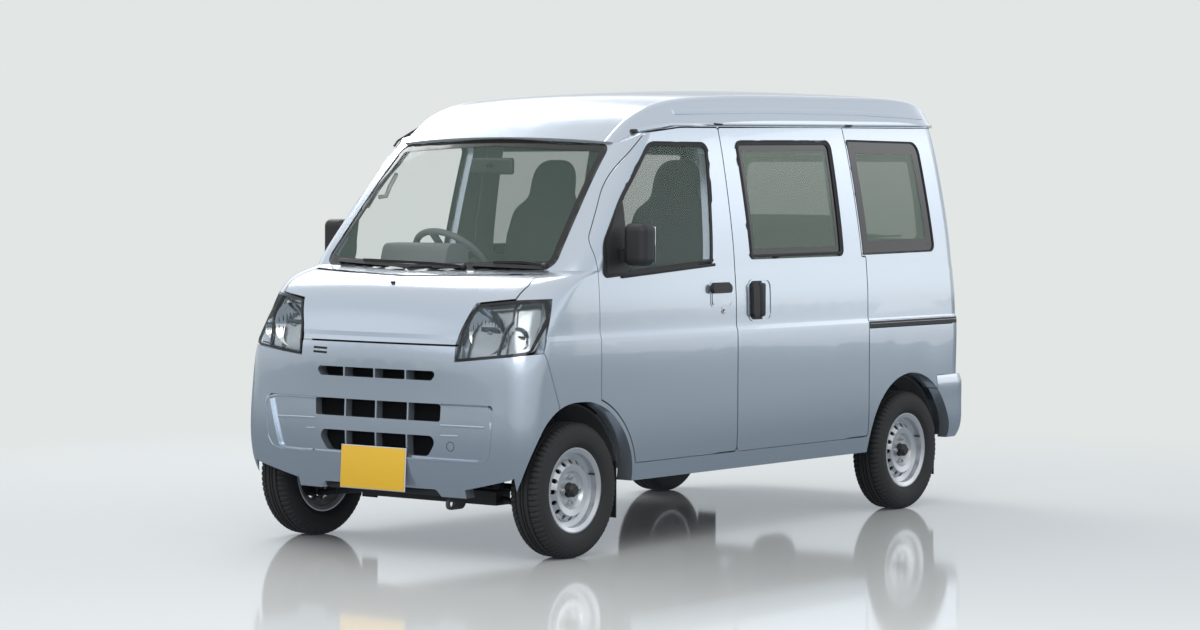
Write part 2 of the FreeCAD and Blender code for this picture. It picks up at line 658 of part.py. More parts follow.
def wheel_section(points):
    """Half section in the X-Z plane, axial position first, closed and spun about X."""
    corners = [Vec(u, 0, r) for u, r in points]
    return Part.Face(Part.makePolygon(corners + corners[:1])).revolve(Vec(0, 0, 0), Vec(1, 0, 0), 360)


def tyre():
    outer = list(TYRE_OUTER) + [(-u, r) for u, r in reversed(TYRE_OUTER[:-1])]
    inner = [(-34, 153.3), (-39, 169), (-58, 192), (-61, 212), (-58, 232), (-48, 248), (0, 252),
             (48, 248), (58, 232), (61, 212), (58, 192), (39, 169), (34, 153.3)]
    return wheel_section(outer + inner)


def rim():
    """Pressed steel wheel: dropped barrel, domed disc with round holes, bolt seat and nuts."""
    disc = wheel_section(RIM_DISC)
    holes = []
    for i in range(RIM_HOLES):
        turn = 2 * math.pi * i / RIM_HOLES
        y = RIM_HOLE_CIRCLE * math.cos(turn)
        z = RIM_HOLE_CIRCLE * math.sin(turn)
        holes.append(Part.makeCylinder(RIM_HOLE_RADIUS, 60, Vec(-5, y, z), Vec(1, 0, 0)))
    disc = disc.cut(holes)
    nuts = []
    for i in range(NUT_COUNT):
        turn = 2 * math.pi * i / NUT_COUNT
        y = NUT_CIRCLE * math.cos(turn)
        z = NUT_CIRCLE * math.sin(turn)
        nuts.append(Part.makeCylinder(9.5, 16, Vec(24, y, z), Vec(1, 0, 0)))
    return fused([wheel_section(RIM_BARREL), disc] + nuts)


def placed_wheel(shape, side, y):
    """Wheel piece at its hub; side is 1 for left and -1 for right."""
    piece = shape.copy() if side > 0 else mirrored(shape)
    piece.translate(Vec(side * WHEEL_X, y, HUB_Z))
    return piece


SPARE_CENTRE = (30.0, 2640.0, 465.0)

# Exhaust route: distance behind the front axle, z
EXHAUST_RADIUS = 20.0
EXHAUST_BENDS = (
    (1010, 330), (1500, 262), (2040, 262), (2200, 340), (2340, 470), (2560, 470), (2720, 300), (2960, 268),
)

# Driveline
GEARBOX_END = 1480.0
GEARBOX_Z = 365.0
SHAFT_END = (0, REAR_AXLE_Y - 150, HUB_Z + 16)

# Front suspension and steering
KINGPIN_X = WHEEL_X - 15
STRUT_X = 520.0
STRUT_RADIUS = 20.0
STRUT_TOP = HUB_Z + FRONT_ARCH_RADIUS - 3.0
DRUM_RADIUS = 108.0
DRUM_OUT = 20.5
DRUM_WIDTH = 42.0
HUB_RADIUS = 27.0


def front_hub():
    """Left knuckle with its disc and spindle; the wheel turns round the spindle."""
    x = WHEEL_X + DRUM_OUT
    parts = [
        Part.makeCylinder(DRUM_RADIUS, 12, Vec(x - 12, FRONT_AXLE_Y, HUB_Z), Vec(1, 0, 0)),
        Part.makeCylinder(HUB_RADIUS, 40, Vec(x - 12, FRONT_AXLE_Y, HUB_Z), Vec(1, 0, 0)),
        Part.makeCylinder(45, 50, Vec(x - 60, FRONT_AXLE_Y, HUB_Z), Vec(1, 0, 0)),
        Part.makeCylinder(17, 150, Vec(KINGPIN_X, FRONT_AXLE_Y, HUB_Z - 75)),
    ]
    return fused(parts)


def front_subframe():
    """Cross member, lower arms, struts and steering rack, all fixed at ride height."""
    y = FRONT_AXLE_Y
    parts = [
        box(-RAIL_X - 20, RAIL_X + 20, y - 45, y + 45, 185, 240),
        rod((-430, y + 95, 245), (430, y + 95, 245), 16),
        box(-60, 60, y - 30, y + 110, 200, 250),
    ]
    for side in (1, -1):
        pivot = side * (RAIL_X - 30)
        parts.append(rod((pivot, y, 212), (side * (KINGPIN_X - 8), y, 174), 13))
        parts.append(Part.makeCylinder(16, 22, Vec(side * KINGPIN_X, y, HUB_Z - 75 - 22 - GLASS_GAP)))
        parts.append(rod((side * STRUT_X, y + 8, 185), (side * (STRUT_X - 22), y + 4, 586), STRUT_RADIUS))
        parts.append(Part.makeCylinder(38, 10, Vec(side * (STRUT_X - 22), y + 4, STRUT_TOP - 10)))
        parts.append(rod((side * (RAIL_X - 5), y, 212), (side * (RAIL_X - 5), y, FRONT_RAIL_LOW_Z - GLASS_GAP), 24))
    return fused(parts)


def rear_axle():
    """Solid axle with its differential, drums, leaf springs and dampers."""
    y = REAR_AXLE_Y
    end = WHEEL_X + DRUM_OUT
    parts = [
        rod((-end + 20, y, HUB_Z), (end - 20, y, HUB_Z), 32),
        Part.makeCylinder(98, 90, Vec(0, y - 45, HUB_Z), Vec(0, 1, 0)),
        Part.makeCone(80, 50, 36, Vec(0, y + 45, HUB_Z), Vec(0, 1, 0)),
        rod((0, y - 40, HUB_Z + 3), SHAFT_END, 40),
    ]
    for side in (1, -1):
        start = end if side > 0 else -end
        parts.append(Part.makeCylinder(DRUM_RADIUS, DRUM_WIDTH, Vec(start, y, HUB_Z), Vec(-side, 0, 0)))
        parts.append(Part.makeCylinder(HUB_RADIUS, 30, Vec(start, y, HUB_Z), Vec(side, 0, 0)))
        leaf = side_prism((
            (WHEELBASE - 520, 468, 0), (WHEELBASE - 500, 482, 0), (WHEELBASE, 350, 1500), (WHEELBASE + 440, 482, 0),
            (WHEELBASE + 455, 466, 0), (WHEELBASE, 318, 1500),
        ), side * 440 - 25, side * 440 + 25)
        parts.append(leaf)
        parts.append(box(side * 440 - 32, side * 440 + 32, y - 45, y + 45, HUB_Z - 20, 392))
        parts.append(rod((side * 440, aft(WHEELBASE - 505), 470), (side * 440, aft(WHEELBASE - 505), LOAD_UNDERSIDE), 14))
        parts.append(rod((side * 440, aft(WHEELBASE + 392), 458), (side * 440, aft(WHEELBASE + 392), LOAD_UNDERSIDE), 14))
        parts.append(rod((side * 505, y + 38, HUB_Z), (side * 485, y + 175, LOAD_UNDERSIDE - 10), 20))
    return fused(parts)


def engine_block():
    """Engine and gearbox under the seats, as one block on its two cross mounts."""
    rail = RAIL_X - RAIL_WIDTH / 2 - GLASS_GAP
    gearbox = box(-115, 115, aft(1000), aft(GEARBOX_END), 275, 460)
    flange = rod((0, aft(GEARBOX_END), GEARBOX_Z), (0, aft(GEARBOX_END + 5), GEARBOX_Z), 38)
    return fused([
        box(-205, 190, aft(500), aft(1000), 255, 560), gearbox, flange,
        box(-rail, rail, aft(700), aft(760), 518, 548),
        box(-rail, rail, aft(1340), aft(1390), RAIL_LOW_Z - 70, RAIL_LOW_Z - 45),
        box(rail - 26, rail, aft(1340), aft(1390), RAIL_LOW_Z - 70, RAIL_LOW_Z + 30),
        box(-rail, -rail + 26, aft(1340), aft(1390), RAIL_LOW_Z - 70, RAIL_LOW_Z + 30),
    ])


def prop_shaft():
    ahead = Vec(0, aft(GEARBOX_END), GEARBOX_Z)
    behind = Vec(*SHAFT_END)
    line = behind - ahead
    line.normalize()
    return rod(ahead + line * 8.4, behind - line * 3.5, 30)


def fuel_tank():
    tank = box(395, 640, aft(1250), aft(1900), 290, 520)
    tank = tank.makeFillet(30, [e for e in tank.Edges if abs(e.Length - 650) < 1])
    top = FLOOR_Z - FLOOR_THICK - GLASS_GAP
    straps = [box(505, 545, aft(y), aft(y + 30), 515, top) for y in (1350, 1780)]
    return fused([tank] + straps)


def exhaust():
    bends = [(-252, aft(y), z) for y, z in EXHAUST_BENDS]
    parts = [rod(a, b, EXHAUST_RADIUS) for a, b in zip(bends, bends[1:])]
    parts += [Part.makeSphere(EXHAUST_RADIUS, Vec(*bend)) for bend in bends[1:-1]]
    parts.append(rod((-252, aft(1540), 262), (-252, aft(2000), 262), 66))
    top = FLOOR_Z - FLOOR_THICK - GLASS_GAP
    parts.append(rod((-252, aft(1700), 300), (-252, aft(1700), top), 9))
    parts.append(rod((-252, aft(2760), 280), (-252, aft(2760), top), 9))
    return fused(parts)


def spare_wheel():
    """Spare under the load floor behind the axle, on its winch chain bracket."""
    shape = wheel_section(((-60, 150), (-66, 190), (-60, 240), (-46, 258), (46, 258), (60, 240), (66, 190),
                           (60, 150)))
    shape.rotate(Vec(0, 0, 0), Vec(0, 1, 0), 90)
    x, y, z = SPARE_CENTRE
    shape.translate(Vec(x, aft(y), z))
    bar = box(x - 175, x + 175, aft(y - 15), aft(y + 15), z - 15, z + 5)
    stem = rod((x, aft(y), z - 5), (x, aft(y), FLOOR_Z - FLOOR_THICK - GLASS_GAP), 12)
    return fused([shape, bar, stem])


# Cabin
SEAT_X = 330.0
WHEEL_CENTRE = (-SEAT_X, 500.0, 1135.0)
STEERING_RADIUS = 183.0
STEERING_HUB_DEPTH = 45.0
DASH_HALF = 600.0
BROW_HALF = 175.0
STEERING_TILT = 45.0


def dashboard():
    """Dashboard with its hood over the dials, seated on the toe board."""
    body = side_prism((
        (TOE_FRONT + FLOOR_THICK + GLASS_GAP, TOE_TOP - 60, 0), (TOE_FRONT + FLOOR_THICK + GLASS_GAP, 990, 30),
        (-40, 1070, 60), (120, 1078, 60), (230, 1118, 60), (395, 1112, 45), (400, 950, 50), (260, 850, 40),
        (90, 770, 40),
    ), -DASH_HALF, DASH_HALF)
    brow = side_prism(((225, 1060, 0), (262, 1205, 40), (392, 1208, 26), (398, 1060, 0)),
                      -SEAT_X - BROW_HALF, -SEAT_X + BROW_HALF)
    dash = fused([body, brow])
    column = steering_place(rod((0, 0, -240), (0, 0, -STEERING_HUB_DEPTH - GLASS_GAP), 30))
    return fused([dash, column])


def steering_place(shape):
    """From the steering wheel's own frame, axis up, to its place in the cab."""
    placed = shape.copy()
    placed.rotate(Vec(0, 0, 0), Vec(1, 0, 0), -(90 - STEERING_TILT))
    x, y, z = WHEEL_CENTRE
    placed.translate(Vec(x, aft(y), z))
    return placed


def steering_wheel():
    ring = Part.makeTorus(STEERING_RADIUS - 14, 14)
    hub = Part.makeCylinder(58, 44, Vec(0, 0, -STEERING_HUB_DEPTH))
    spokes = []
    for turn in (-20, 200, 270):
        arm = box(30, STEERING_RADIUS - 12, -17, 17, -16, -4)
        arm.rotate(Vec(0, 0, 0), Vec(0, 0, 1), turn)
        spokes.append(arm)
    return steering_place(fused([ring, hub] + spokes))


def seat(x):
    """Cushion, reclined back and one-piece head restraint on a plinth."""
    half = 235
    cushion = side_prism(((590, 700, 40), (600, 815, 45), (1030, 795, 30), (1090, 700, 20)), x - half, x + half)
    back = side_prism(((1000, 770, 20), (1098, 1330, 35), (1188, 1345, 30), (1130, 770, 20)), x - half + 10, x + half - 10)
    head = side_prism(((1095, 1300, 10), (1118, 1560, 34), (1196, 1560, 34), (1192, 1300, 10)), x - 122, x + 122)
    plinth = box(x - 180, x + 180, aft(630), aft(1050), FLOOR_Z + GLASS_GAP, 705)
    return fused([cushion, back, head, plinth])


def rear_bench():
    """Folding rear bench across the load space."""
    half = 560
    cushion = side_prism(((1560, 830, 30), (1560, 930, 35), (2010, 915, 30), (2030, 830, 20)), -half, half)
    back = side_prism(((1960, 860, 20), (2060, 1330, 40), (2130, 1330, 30), (2070, 850, 20)), -half, half)
    legs = [box(x - 20, x + 20, aft(1620), aft(1990), FLOOR_Z + GLASS_GAP, 850) for x in (-450, 450)]
    return fused([cushion, back] + legs)


def cabin_fittings():
    """Rear-view mirror on its stalk."""
    mirror = box(-108, 108, aft(348), aft(374), 1492, 1560)
    mirror = mirror.makeFillet(12, mirror.Edges)
    stalk = rod((0, aft(305.6), 1530), (0, aft(360), 1530), 9)
    return fused([mirror, stalk])


# Door fittings
MIRROR_Y = 330.0


def door_fittings(body):
    """Left door mirror on its sail, and the outer handle."""
    head = box(735, 845, aft(258), aft(345), 1134, 1302)
    head = head.makeFillet(30, head.Edges)
    arm = box(690, 760, aft(275), aft(330), 1150, 1200)
    arm = arm.cut(body.skin)
    sail = body_form(-3).cut(body_form(0.0)).common(
        side_prism(((185, 1105, 8), (195, 1215, 10), (330, 1415, 10), (325, 1105, 8)), 200, REACH))
    handle = body_form(-22).cut(body_form(-GLASS_GAP)).common(
        side_prism(((880, 1010, 18), (880, 1048, 18), (1016, 1048, 18), (1016, 1010, 18)), 200, REACH))
    return [fused([head, arm, sail]), handle]


def slide_handle():
    grip = body_form(-20).cut(body_form(-GLASS_GAP)).common(
        side_prism(((1172, 905, 18), (1172, 1045, 18), (1218, 1045, 18), (1218, 905, 18)), 200, REACH))
    return grip


def slide_rails():
    rail = body_form(-1.5).cut(body_form(-GLASS_GAP)).common(
        side_prism(((2098, 829, 2), (2098, 857, 2), (2856, 857, 2), (2856, 829, 2)), 200, REACH))
    return [rail, mirrored(rail)]


MUDFLAP_THICK = 6.0
MUDFLAP_LOW_Z = 130.0


def mudflaps():
    rear = FLOOR_Z - FLOOR_THICK - HUB_Z - GLASS_GAP
    flaps = []
    for y, radius, drop, x0, x1 in (
            (FRONT_AXLE_Y, FRONT_ARCH_RADIUS + LINER_THICK, LINER_DROP_FRONT, WHEEL_X - 66, LINER_OUT),
            (REAR_AXLE_Y, rear, LINER_DROP_REAR, WHEEL_X - 92, WHEEL_X + 8)):
        back = y + math.sqrt(radius ** 2 - drop ** 2)
        flaps.append(box(x0, x1, back - MUDFLAP_THICK, back, MUDFLAP_LOW_Z, HUB_Z + drop - GLASS_GAP))
    flaps += [mirrored(f) for f in flaps]
    return Part.makeCompound(flaps)


def wipers():
    layer = band(GREENHOUSE, -9).cut(band(GREENHOUSE, GLASS_INSET - GLASS_GAP))
    blades = []
    for route in WIPERS:
        strip = [(x, z, 3) for x, z in route] + [(x, z + 13, 3) for x, z in reversed(route)]
        blades.append(layer.common(front_prism(strip, NOSE_Y - 50, aft(150))))
    return Part.makeCompound(blades)


def build():
    """Every node of the van, by name."""
    body = Body()
    nodes = {}
    nodes["floor_pan"] = floor_pan()
    nodes["wheelhouses"] = Part.makeCompound(front_wheelhouses() + rear_wheelhouses())
    nodes["front_body"] = front_body(body)
    left = side_frame(body)
    nodes["side_frame_left"] = left
    nodes["side_frame_right"] = mirrored(left)
    nodes["roof_panel"] = roof_panel(body)
    nodes["windshield"] = windshield(body)
    nodes["front_bumper"] = front_bumper(body)
    nodes["grille_insert"] = grille_insert(body)
    nodes["headlamps"] = headlamps(body)
    nodes["hood_panel"] = hood_panel(body)
    slide = side_door(body, SLIDE_DOOR, SLIDE_WINDOW)
    nodes["slide_door_left"] = slide
    nodes["slide_door_right"] = mirrored(slide)
    panes = [side_pane(body, SLIDE_WINDOW), side_pane(body, QUARTER_WINDOW)]
    nodes["side_glass"] = Part.makeCompound(panes + [mirrored(p) for p in panes])
    grip = slide_handle()
    nodes["slide_door_fittings"] = Part.makeCompound([grip, mirrored(grip)] + slide_rails())
    door = front_door(body)
    pane = side_pane(body, FRONT_WINDOW)
    mirror, handle = door_fittings(body)
    for side in ("left", "right"):
        turn = (lambda s: s) if side == "left" else mirrored
        nodes["front_door_" + side] = turn(door)
        nodes["front_door_glass_" + side] = turn(pane)
        nodes["door_fittings_" + side] = turn(Part.makeCompound([mirror, handle]))
    nodes["tailgate_panel"] = tailgate_panel(body)
    nodes["tailgate_glass"] = tailgate_glass(body)
    nodes["tail_lamps"] = tail_lamps()
    nodes["rear_bumper"] = rear_bumper(body)
    nodes["dashboard"] = dashboard()
    nodes["steering_wheel"] = steering_wheel()
    nodes["front_seats"] = Part.makeCompound([seat(-SEAT_X), seat(SEAT_X)])
    nodes["rear_bench"] = rear_bench()
    nodes["cabin_mirror"] = cabin_fittings()
    nodes["mudflaps"] = mudflaps()
    nodes["wipers"] = wipers()
    nodes["engine_block"] = engine_block()
    nodes["prop_shaft"] = prop_shaft()
    nodes["fuel_tank"] = fuel_tank()
    nodes["exhaust"] = exhaust()
    nodes["spare_wheel"] = spare_wheel()
    nodes["front_subframe"] = front_subframe()
    nodes["rear_axle"] = rear_axle()
    rubber = tyre()
    steel = rim()
    for place, y in (("front", FRONT_AXLE_Y), ("rear", REAR_AXLE_Y)):
        for side, way in (("left", 1), ("right", -1)):
            nodes["tyre_%s_%s" % (place, side)] = placed_wheel(rubber, way, y)
            nodes["rim_%s_%s" % (place, side)] = placed_wheel(steel, way, y)
    hub = front_hub()
    nodes["front_hub_left"] = hub
    nodes["front_hub_right"] = mirrored(hub)
    return nodes


def main():
    os.makedirs("parts", exist_ok=True)
    for name, shape in build().items():
        shape.exportStep("parts/%s.step" % name)


if __name__ == "__main__":
    main()
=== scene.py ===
"""Looks of the kei van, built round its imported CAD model.

Lengths are in millimetres until they reach Blender; y is counted back from the front axle.
"""
import json
import math

import bmesh
import bpy
from mathutils import Matrix, Vector
from mathutils.bvhtree import BVHTree


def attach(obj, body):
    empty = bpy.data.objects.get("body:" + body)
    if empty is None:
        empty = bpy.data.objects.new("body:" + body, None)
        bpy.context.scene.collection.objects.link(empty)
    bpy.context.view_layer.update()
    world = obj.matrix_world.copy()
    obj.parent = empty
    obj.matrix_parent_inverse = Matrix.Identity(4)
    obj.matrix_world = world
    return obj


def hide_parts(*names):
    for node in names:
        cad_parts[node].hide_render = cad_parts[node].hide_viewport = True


MM = 0.001

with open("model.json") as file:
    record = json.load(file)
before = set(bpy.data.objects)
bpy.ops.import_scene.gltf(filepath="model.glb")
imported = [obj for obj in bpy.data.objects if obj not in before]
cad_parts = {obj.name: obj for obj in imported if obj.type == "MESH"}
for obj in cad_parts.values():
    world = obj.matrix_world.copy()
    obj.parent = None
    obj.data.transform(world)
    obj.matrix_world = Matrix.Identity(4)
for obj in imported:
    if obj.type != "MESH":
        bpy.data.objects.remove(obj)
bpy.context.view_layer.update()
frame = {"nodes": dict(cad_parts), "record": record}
nodes = frame["nodes"]

# Driving dimensions
FRONT_AXLE_Y = -1317.5
WHEELBASE = 2450.0
WHEEL_X = 652.0
TYRE_RADIUS = 265.0
FAR = 3000.0


def at(x, y, z):
    """Point in metres from millimetres, with y behind the front axle."""
    return Vector((x, FRONT_AXLE_Y + y, z)) * MM


# Materials

def material(name, colour, rough, metallic=0.0, **sockets):
    mat = bpy.data.materials.new(name)
    mat.use_nodes = True
    shader = mat.node_tree.nodes["Principled BSDF"]
    shader.inputs["Base Color"].default_value = (*colour, 1)
    shader.inputs["Roughness"].default_value = rough
    shader.inputs["Metallic"].default_value = metallic
    for socket, value in sockets.items():
        shader.inputs[socket.replace("_", " ")].default_value = value
    return mat


def grained(name, colour, rough, scale, depth, metallic=0.0):
    """Material with a fine noise bump."""
    mat = material(name, colour, rough, metallic)
    tree = mat.node_tree
    coords = tree.nodes.new("ShaderNodeTexCoord")
    noise = tree.nodes.new("ShaderNodeTexNoise")
    noise.inputs["Scale"].default_value = scale
    bump = tree.nodes.new("ShaderNodeBump")
    bump.inputs["Strength"].default_value = depth
    bump.inputs["Distance"].default_value = 0.001
    tree.links.new(coords.outputs["Object"], noise.inputs["Vector"])
    tree.links.new(noise.outputs["Fac"], bump.inputs["Height"])
    tree.links.new(bump.outputs["Normal"], tree.nodes["Principled BSDF"].inputs["Normal"])
    return mat


PAINT = material("paint", (0.49, 0.55, 0.62), 0.24, 0.8, Coat_Weight=1.0, Coat_Roughness=0.03)
HEADLINER = grained("headliner", (0.55, 0.55, 0.53), 0.9, 900, 0.3)
TRIM = grained("cabin_trim", (0.16, 0.165, 0.17), 0.7, 700, 0.3)
TRIM_DARK = grained("cabin_trim_dark", (0.06, 0.062, 0.065), 0.6, 700, 0.3)
CLEAR = material("clear_glass", (0.30, 0.42, 0.36), 0.01, Alpha=0.09, IOR=1.5)
TINTED = material("privacy_glass", (0.10, 0.16, 0.11), 0.02, Alpha=0.42, IOR=1.6)
BLACK = grained("black_plastic", (0.018, 0.018, 0.019), 0.5, 900, 0.4)
GLOSS_BLACK = material("gloss_black", (0.008, 0.008, 0.009), 0.12)
RUBBER = material("seal_rubber", (0.012, 0.012, 0.012), 0.6)
TYRE = grained("tyre_rubber", (0.018, 0.018, 0.019), 0.75, 500, 0.4)
WHEEL = material("wheel_silver", (0.58, 0.60, 0.62), 0.3, 0.7)
STEEL = material("bright_steel", (0.6, 0.6, 0.6), 0.25, 1.0)
CAST = grained("cast_metal", (0.32, 0.32, 0.33), 0.55, 400, 0.5, 0.8)
CHASSIS = grained("chassis_black", (0.02, 0.02, 0.021), 0.5, 500, 0.4)
UNDERSEAL = grained("underseal", (0.05, 0.052, 0.055), 0.7, 300, 0.6)
EXHAUST = grained("exhaust_steel", (0.28, 0.26, 0.24), 0.4, 300, 0.4, 0.9)
CHROME = material("reflector", (0.92, 0.93, 0.94), 0.08, 1.0)
LENS = material("lens_clear", (0.30, 0.36, 0.38), 0.01, Alpha=0.08, IOR=1.5)
RED = material("lens_red", (0.42, 0.008, 0.008), 0.12, Coat_Weight=0.6)
AMBER = material("lens_amber", (0.85, 0.25, 0.02), 0.15, Coat_Weight=0.6)
# Dark metal for the lamp bowls' ribs and the bar over the bulb: painted shade in the reflectors.
REFLECTOR_PAINTED_SHADE = material("reflector_shadow", (0.06, 0.08, 0.09), 0.2, 0.8)
# Black plastic of the grille, made darker still and almost without reflection: partly its own black, partly painted
# shade in the grille's openings.
GRILLE_BLACK_AND_SHADE = material("grille_black", (0.003, 0.003, 0.0035), 0.7, Specular_IOR_Level=0.1)
SILVERED = material("silvered_housing", (0.40, 0.43, 0.45), 0.18, 1.0)
# Near-black for gaps, channels and the line under the drip rails: painted shade in seams and recesses.
SEAM_PAINTED_SHADE = material("seam_shadow", (0.015, 0.016, 0.018), 0.8)
SMOKE = material("lens_white", (0.75, 0.76, 0.76), 0.15, Coat_Weight=0.6)
CLOTH = grained("seat_cloth", (0.055, 0.058, 0.065), 0.95, 1500, 0.6)
FLAP = grained("flap_rubber", (0.012, 0.012, 0.012), 0.7, 400, 0.4)
PLATE = material("plate_yellow", (0.70, 0.42, 0.025), 0.35)
PLATE_EDGE = material("plate_edge", (0.55, 0.60, 0.66), 0.4)

BY_SLOT = {
    "body_paint": PAINT, "clear_glass": CLEAR, "privacy_glass": TINTED, "black_plastic": BLACK,
    "cabin_plastic": TRIM, "lamp_clear": CHROME, "lamp_red": RED, "seat_fabric": CLOTH,
    "flap_rubber": FLAP, "underbody": UNDERSEAL, "chassis_black": CHASSIS, "engine_metal": CAST,
    "exhaust_steel": EXHAUST, "tyre_rubber": TYRE, "wheel_silver": WHEEL,
}
for row in frame["record"]["subparts"]:
    mesh = nodes[row["node"]].data
    mesh.materials.clear()
    mesh.materials.append(BY_SLOT[row["material_slot"]])

# The grille insert takes the black plastic with the painted shade of its openings.
nodes["grille_insert"].data.materials[0] = GRILLE_BLACK_AND_SHADE


def line_inside(node, trim, is_inner):
    """Faces of a panel that look into the cabin take the trim's material."""
    mesh = nodes[node].data
    mesh.materials.append(trim)
    for face in mesh.polygons:
        if is_inner(face.center, face.normal):
            face.material_index = len(mesh.materials) - 1


# Meshes

def piece(name, verts, faces, mat, body, smooth=True):
    mesh = bpy.data.meshes.new(name)
    mesh.from_pydata([tuple(v) for v in verts], [], faces)
    tidy = bmesh.new()
    tidy.from_mesh(mesh)
    bmesh.ops.recalc_face_normals(tidy, faces=tidy.faces)
    tidy.to_mesh(mesh)
    tidy.free()
    mesh.materials.append(mat)
    obj = bpy.data.objects.new(name, mesh)
    bpy.context.scene.collection.objects.link(obj)
    if smooth:
        mesh.shade_smooth()
        mesh.set_sharp_from_angle(angle=math.radians(35))
    if body:
        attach(obj, body)
    return obj


def rounded(points, steps=6):
    """Closed outline from (u, v, corner radius) rows."""
    loop = []
    n = len(points)
    for i, (u, v, radius) in enumerate(points):
        here = Vector((u, v))
        before = (Vector(points[i - 1][:2]) - here).normalized()
        after = (Vector(points[(i + 1) % n][:2]) - here).normalized()
        half = before.angle(after) / 2
        if radius <= 0 or half > math.pi / 2 - 0.02:
            loop.append(here)
            continue
        centre = here + (before + after).normalized() * (radius / math.sin(half))
        start = here + before * (radius / math.tan(half)) - centre
        end = here + after * (radius / math.tan(half)) - centre
        turn = start.angle_signed(end)
        for k in range(steps + 1):
            loop.append(centre + Matrix.Rotation(-turn * k / steps, 2) @ start)
    return loop


def spaced(loop, step=40.0):
    """The same closed outline with no edge longer than the step."""
    result = []
    for i, a in enumerate(loop):
        b = loop[(i + 1) % len(loop)]
        parts = max(1, math.ceil((b - a).length / step))
        result += [a.lerp(b, k / parts) for k in range(parts)]
    return result


def shifted(loop, by):
    """Closed outline moved inwards by this much, point for point."""
    area = sum(a.x * b.y - a.y * b.x for a, b in zip(loop, loop[1:] + loop[:1]))
    way = 1 if area > 0 else -1
    result = []
    for i, p in enumerate(loop):
        a = (p - loop[i - 1])
        b = (loop[(i + 1) % len(loop)] - p)
        normal = a.normalized() + b.normalized()
        normal = Vector((-normal.y, normal.x)).normalized() * way
        cosine = max(0.5, abs(normal.dot(Vector((-a.y, a.x)).normalized())))
        result.append(p + normal * (by / cosine))
    return result


class Skin:
    """Outer surface of some CAD nodes, to lay things on."""

    def __init__(self, *names):
        verts = []
        faces = []
        for name in names:
            mesh = nodes[name].data
            start = len(verts)
            verts += [v.co.copy() for v in mesh.vertices]
            faces += [[start + i for i in f.vertices] for f in mesh.polygons]
        self.tree = BVHTree.FromPolygons(verts, faces)

    def hit(self, origin, direction, lift):
        place, normal, _, _ = self.tree.ray_cast(origin, direction)
        if place is None:
            tries = [(k, self.tree.find_nearest(origin + direction * (k * 0.02))) for k in range(60, 330)]
            _, (place, normal, _, _) = min(tries, key=lambda pair: pair[1][3] + pair[0] * 0.004)
        if normal.dot(direction) > 0:
            normal = -normal
        return place + normal * lift * MM

    def side(self, way):
        """Places (y, z) on the side; way is 1 for the left and -1 for the right."""
        return lambda y, z, lift: self.hit(at(way * FAR, y, z), Vector((-way, 0, 0)), lift)

    def front(self):
        return lambda x, z, lift: self.hit(at(x, -FAR, z), Vector((0, 1, 0)), lift)

    def rear(self):
        return lambda x, z, lift: self.hit(at(x, FAR * 1.5, z), Vector((0, -1, 0)), lift)

    def top(self):
        return lambda x, y, lift: self.hit(at(x, y, FAR), Vector((0, 0, -1)), lift)


def ring(name, outline, width, place, lift, mat, body, sink=1.0, step=40.0):
    """Frame of this width inside an outline, laid on a surface."""
    outer = spaced(outline, step)
    inner = shifted(outer, width)
    middle = shifted(outer, width / 2)
    rows = []
    for loop, height in ((outer, -sink), (outer, lift), (middle, lift), (inner, lift), (inner, -sink)):
        rows.append([place(p.x, p.y, height) for p in loop])
    return tube_of(name, rows, mat, body, closed=True)


def tube_of(name, rows, mat, body, closed, smooth=True):
    """Skin over rows of equally many points, joined round each station."""
    count = len(rows[0])
    verts = [v for row in rows for v in row]
    faces = []
    for r in range(len(rows)):
        nxt = (r + 1) % len(rows)
        for i in range(count if closed else count - 1):
            j = (i + 1) % count
            faces.append((r * count + i, r * count + j, nxt * count + j, nxt * count + i))
    if not closed:
        faces.append([r * count for r in range(len(rows))])
        faces.append([r * count + count - 1 for r in reversed(range(len(rows)))])
    return piece(name, verts, faces, mat, body, smooth)


def strip(name, path, width, height, place, mat, body, sink=1.5, step=30.0):
    """Raised line of this width and height along (u, v) points on a surface."""
    points = []
    for a, b in zip(path, path[1:]):
        a, b = Vector(a), Vector(b)
        parts = max(1, math.ceil((b - a).length / step))
        points += [a.lerp(b, k / parts) for k in range(parts)]
    points.append(Vector(path[-1]))
    half = width / 2
    rows = [[], [], [], [], []]
    section = ((-half, -sink), (-half, height * 0.6), (0, height), (half, height * 0.6), (half, -sink))
    for i, p in enumerate(points):
        along = (points[min(i + 1, len(points) - 1)] - points[max(i - 1, 0)]).normalized()
        across = Vector((-along.y, along.x))
        for row, (offset, lift) in zip(rows, section):
            q = p + across * offset
            row.append(place(q.x, q.y, lift))
    return tube_of(name, rows, mat, body, closed=False)


def patch(name, outline, place, lift, mat, body, sink=1.0, step=25.0):
    """Filled plate inside an outline, laid on a surface; it shrinks to its middle in rings."""
    outer = spaced(outline, step)
    centre = sum(outer, Vector((0, 0))) / len(outer)
    rows = [[place(p.x, p.y, -sink) for p in outer]]
    for share in (1.0, 0.98, 0.75, 0.5, 0.25):
        rows.append([place(*(centre + (p - centre) * share), lift) for p in outer])
    verts = [v for row in rows for v in row] + [place(centre.x, centre.y, lift)]
    n = len(outer)
    faces = [(r * n + i, r * n + (i + 1) % n, (r + 1) * n + (i + 1) % n, (r + 1) * n + i)
             for r in range(len(rows) - 1) for i in range(n)]
    last = (len(rows) - 1) * n
    faces += [(last + i, last + (i + 1) % n, len(verts) - 1) for i in range(n)]
    faces.append(list(reversed(range(n))))
    return piece(name, verts, faces, mat, body)


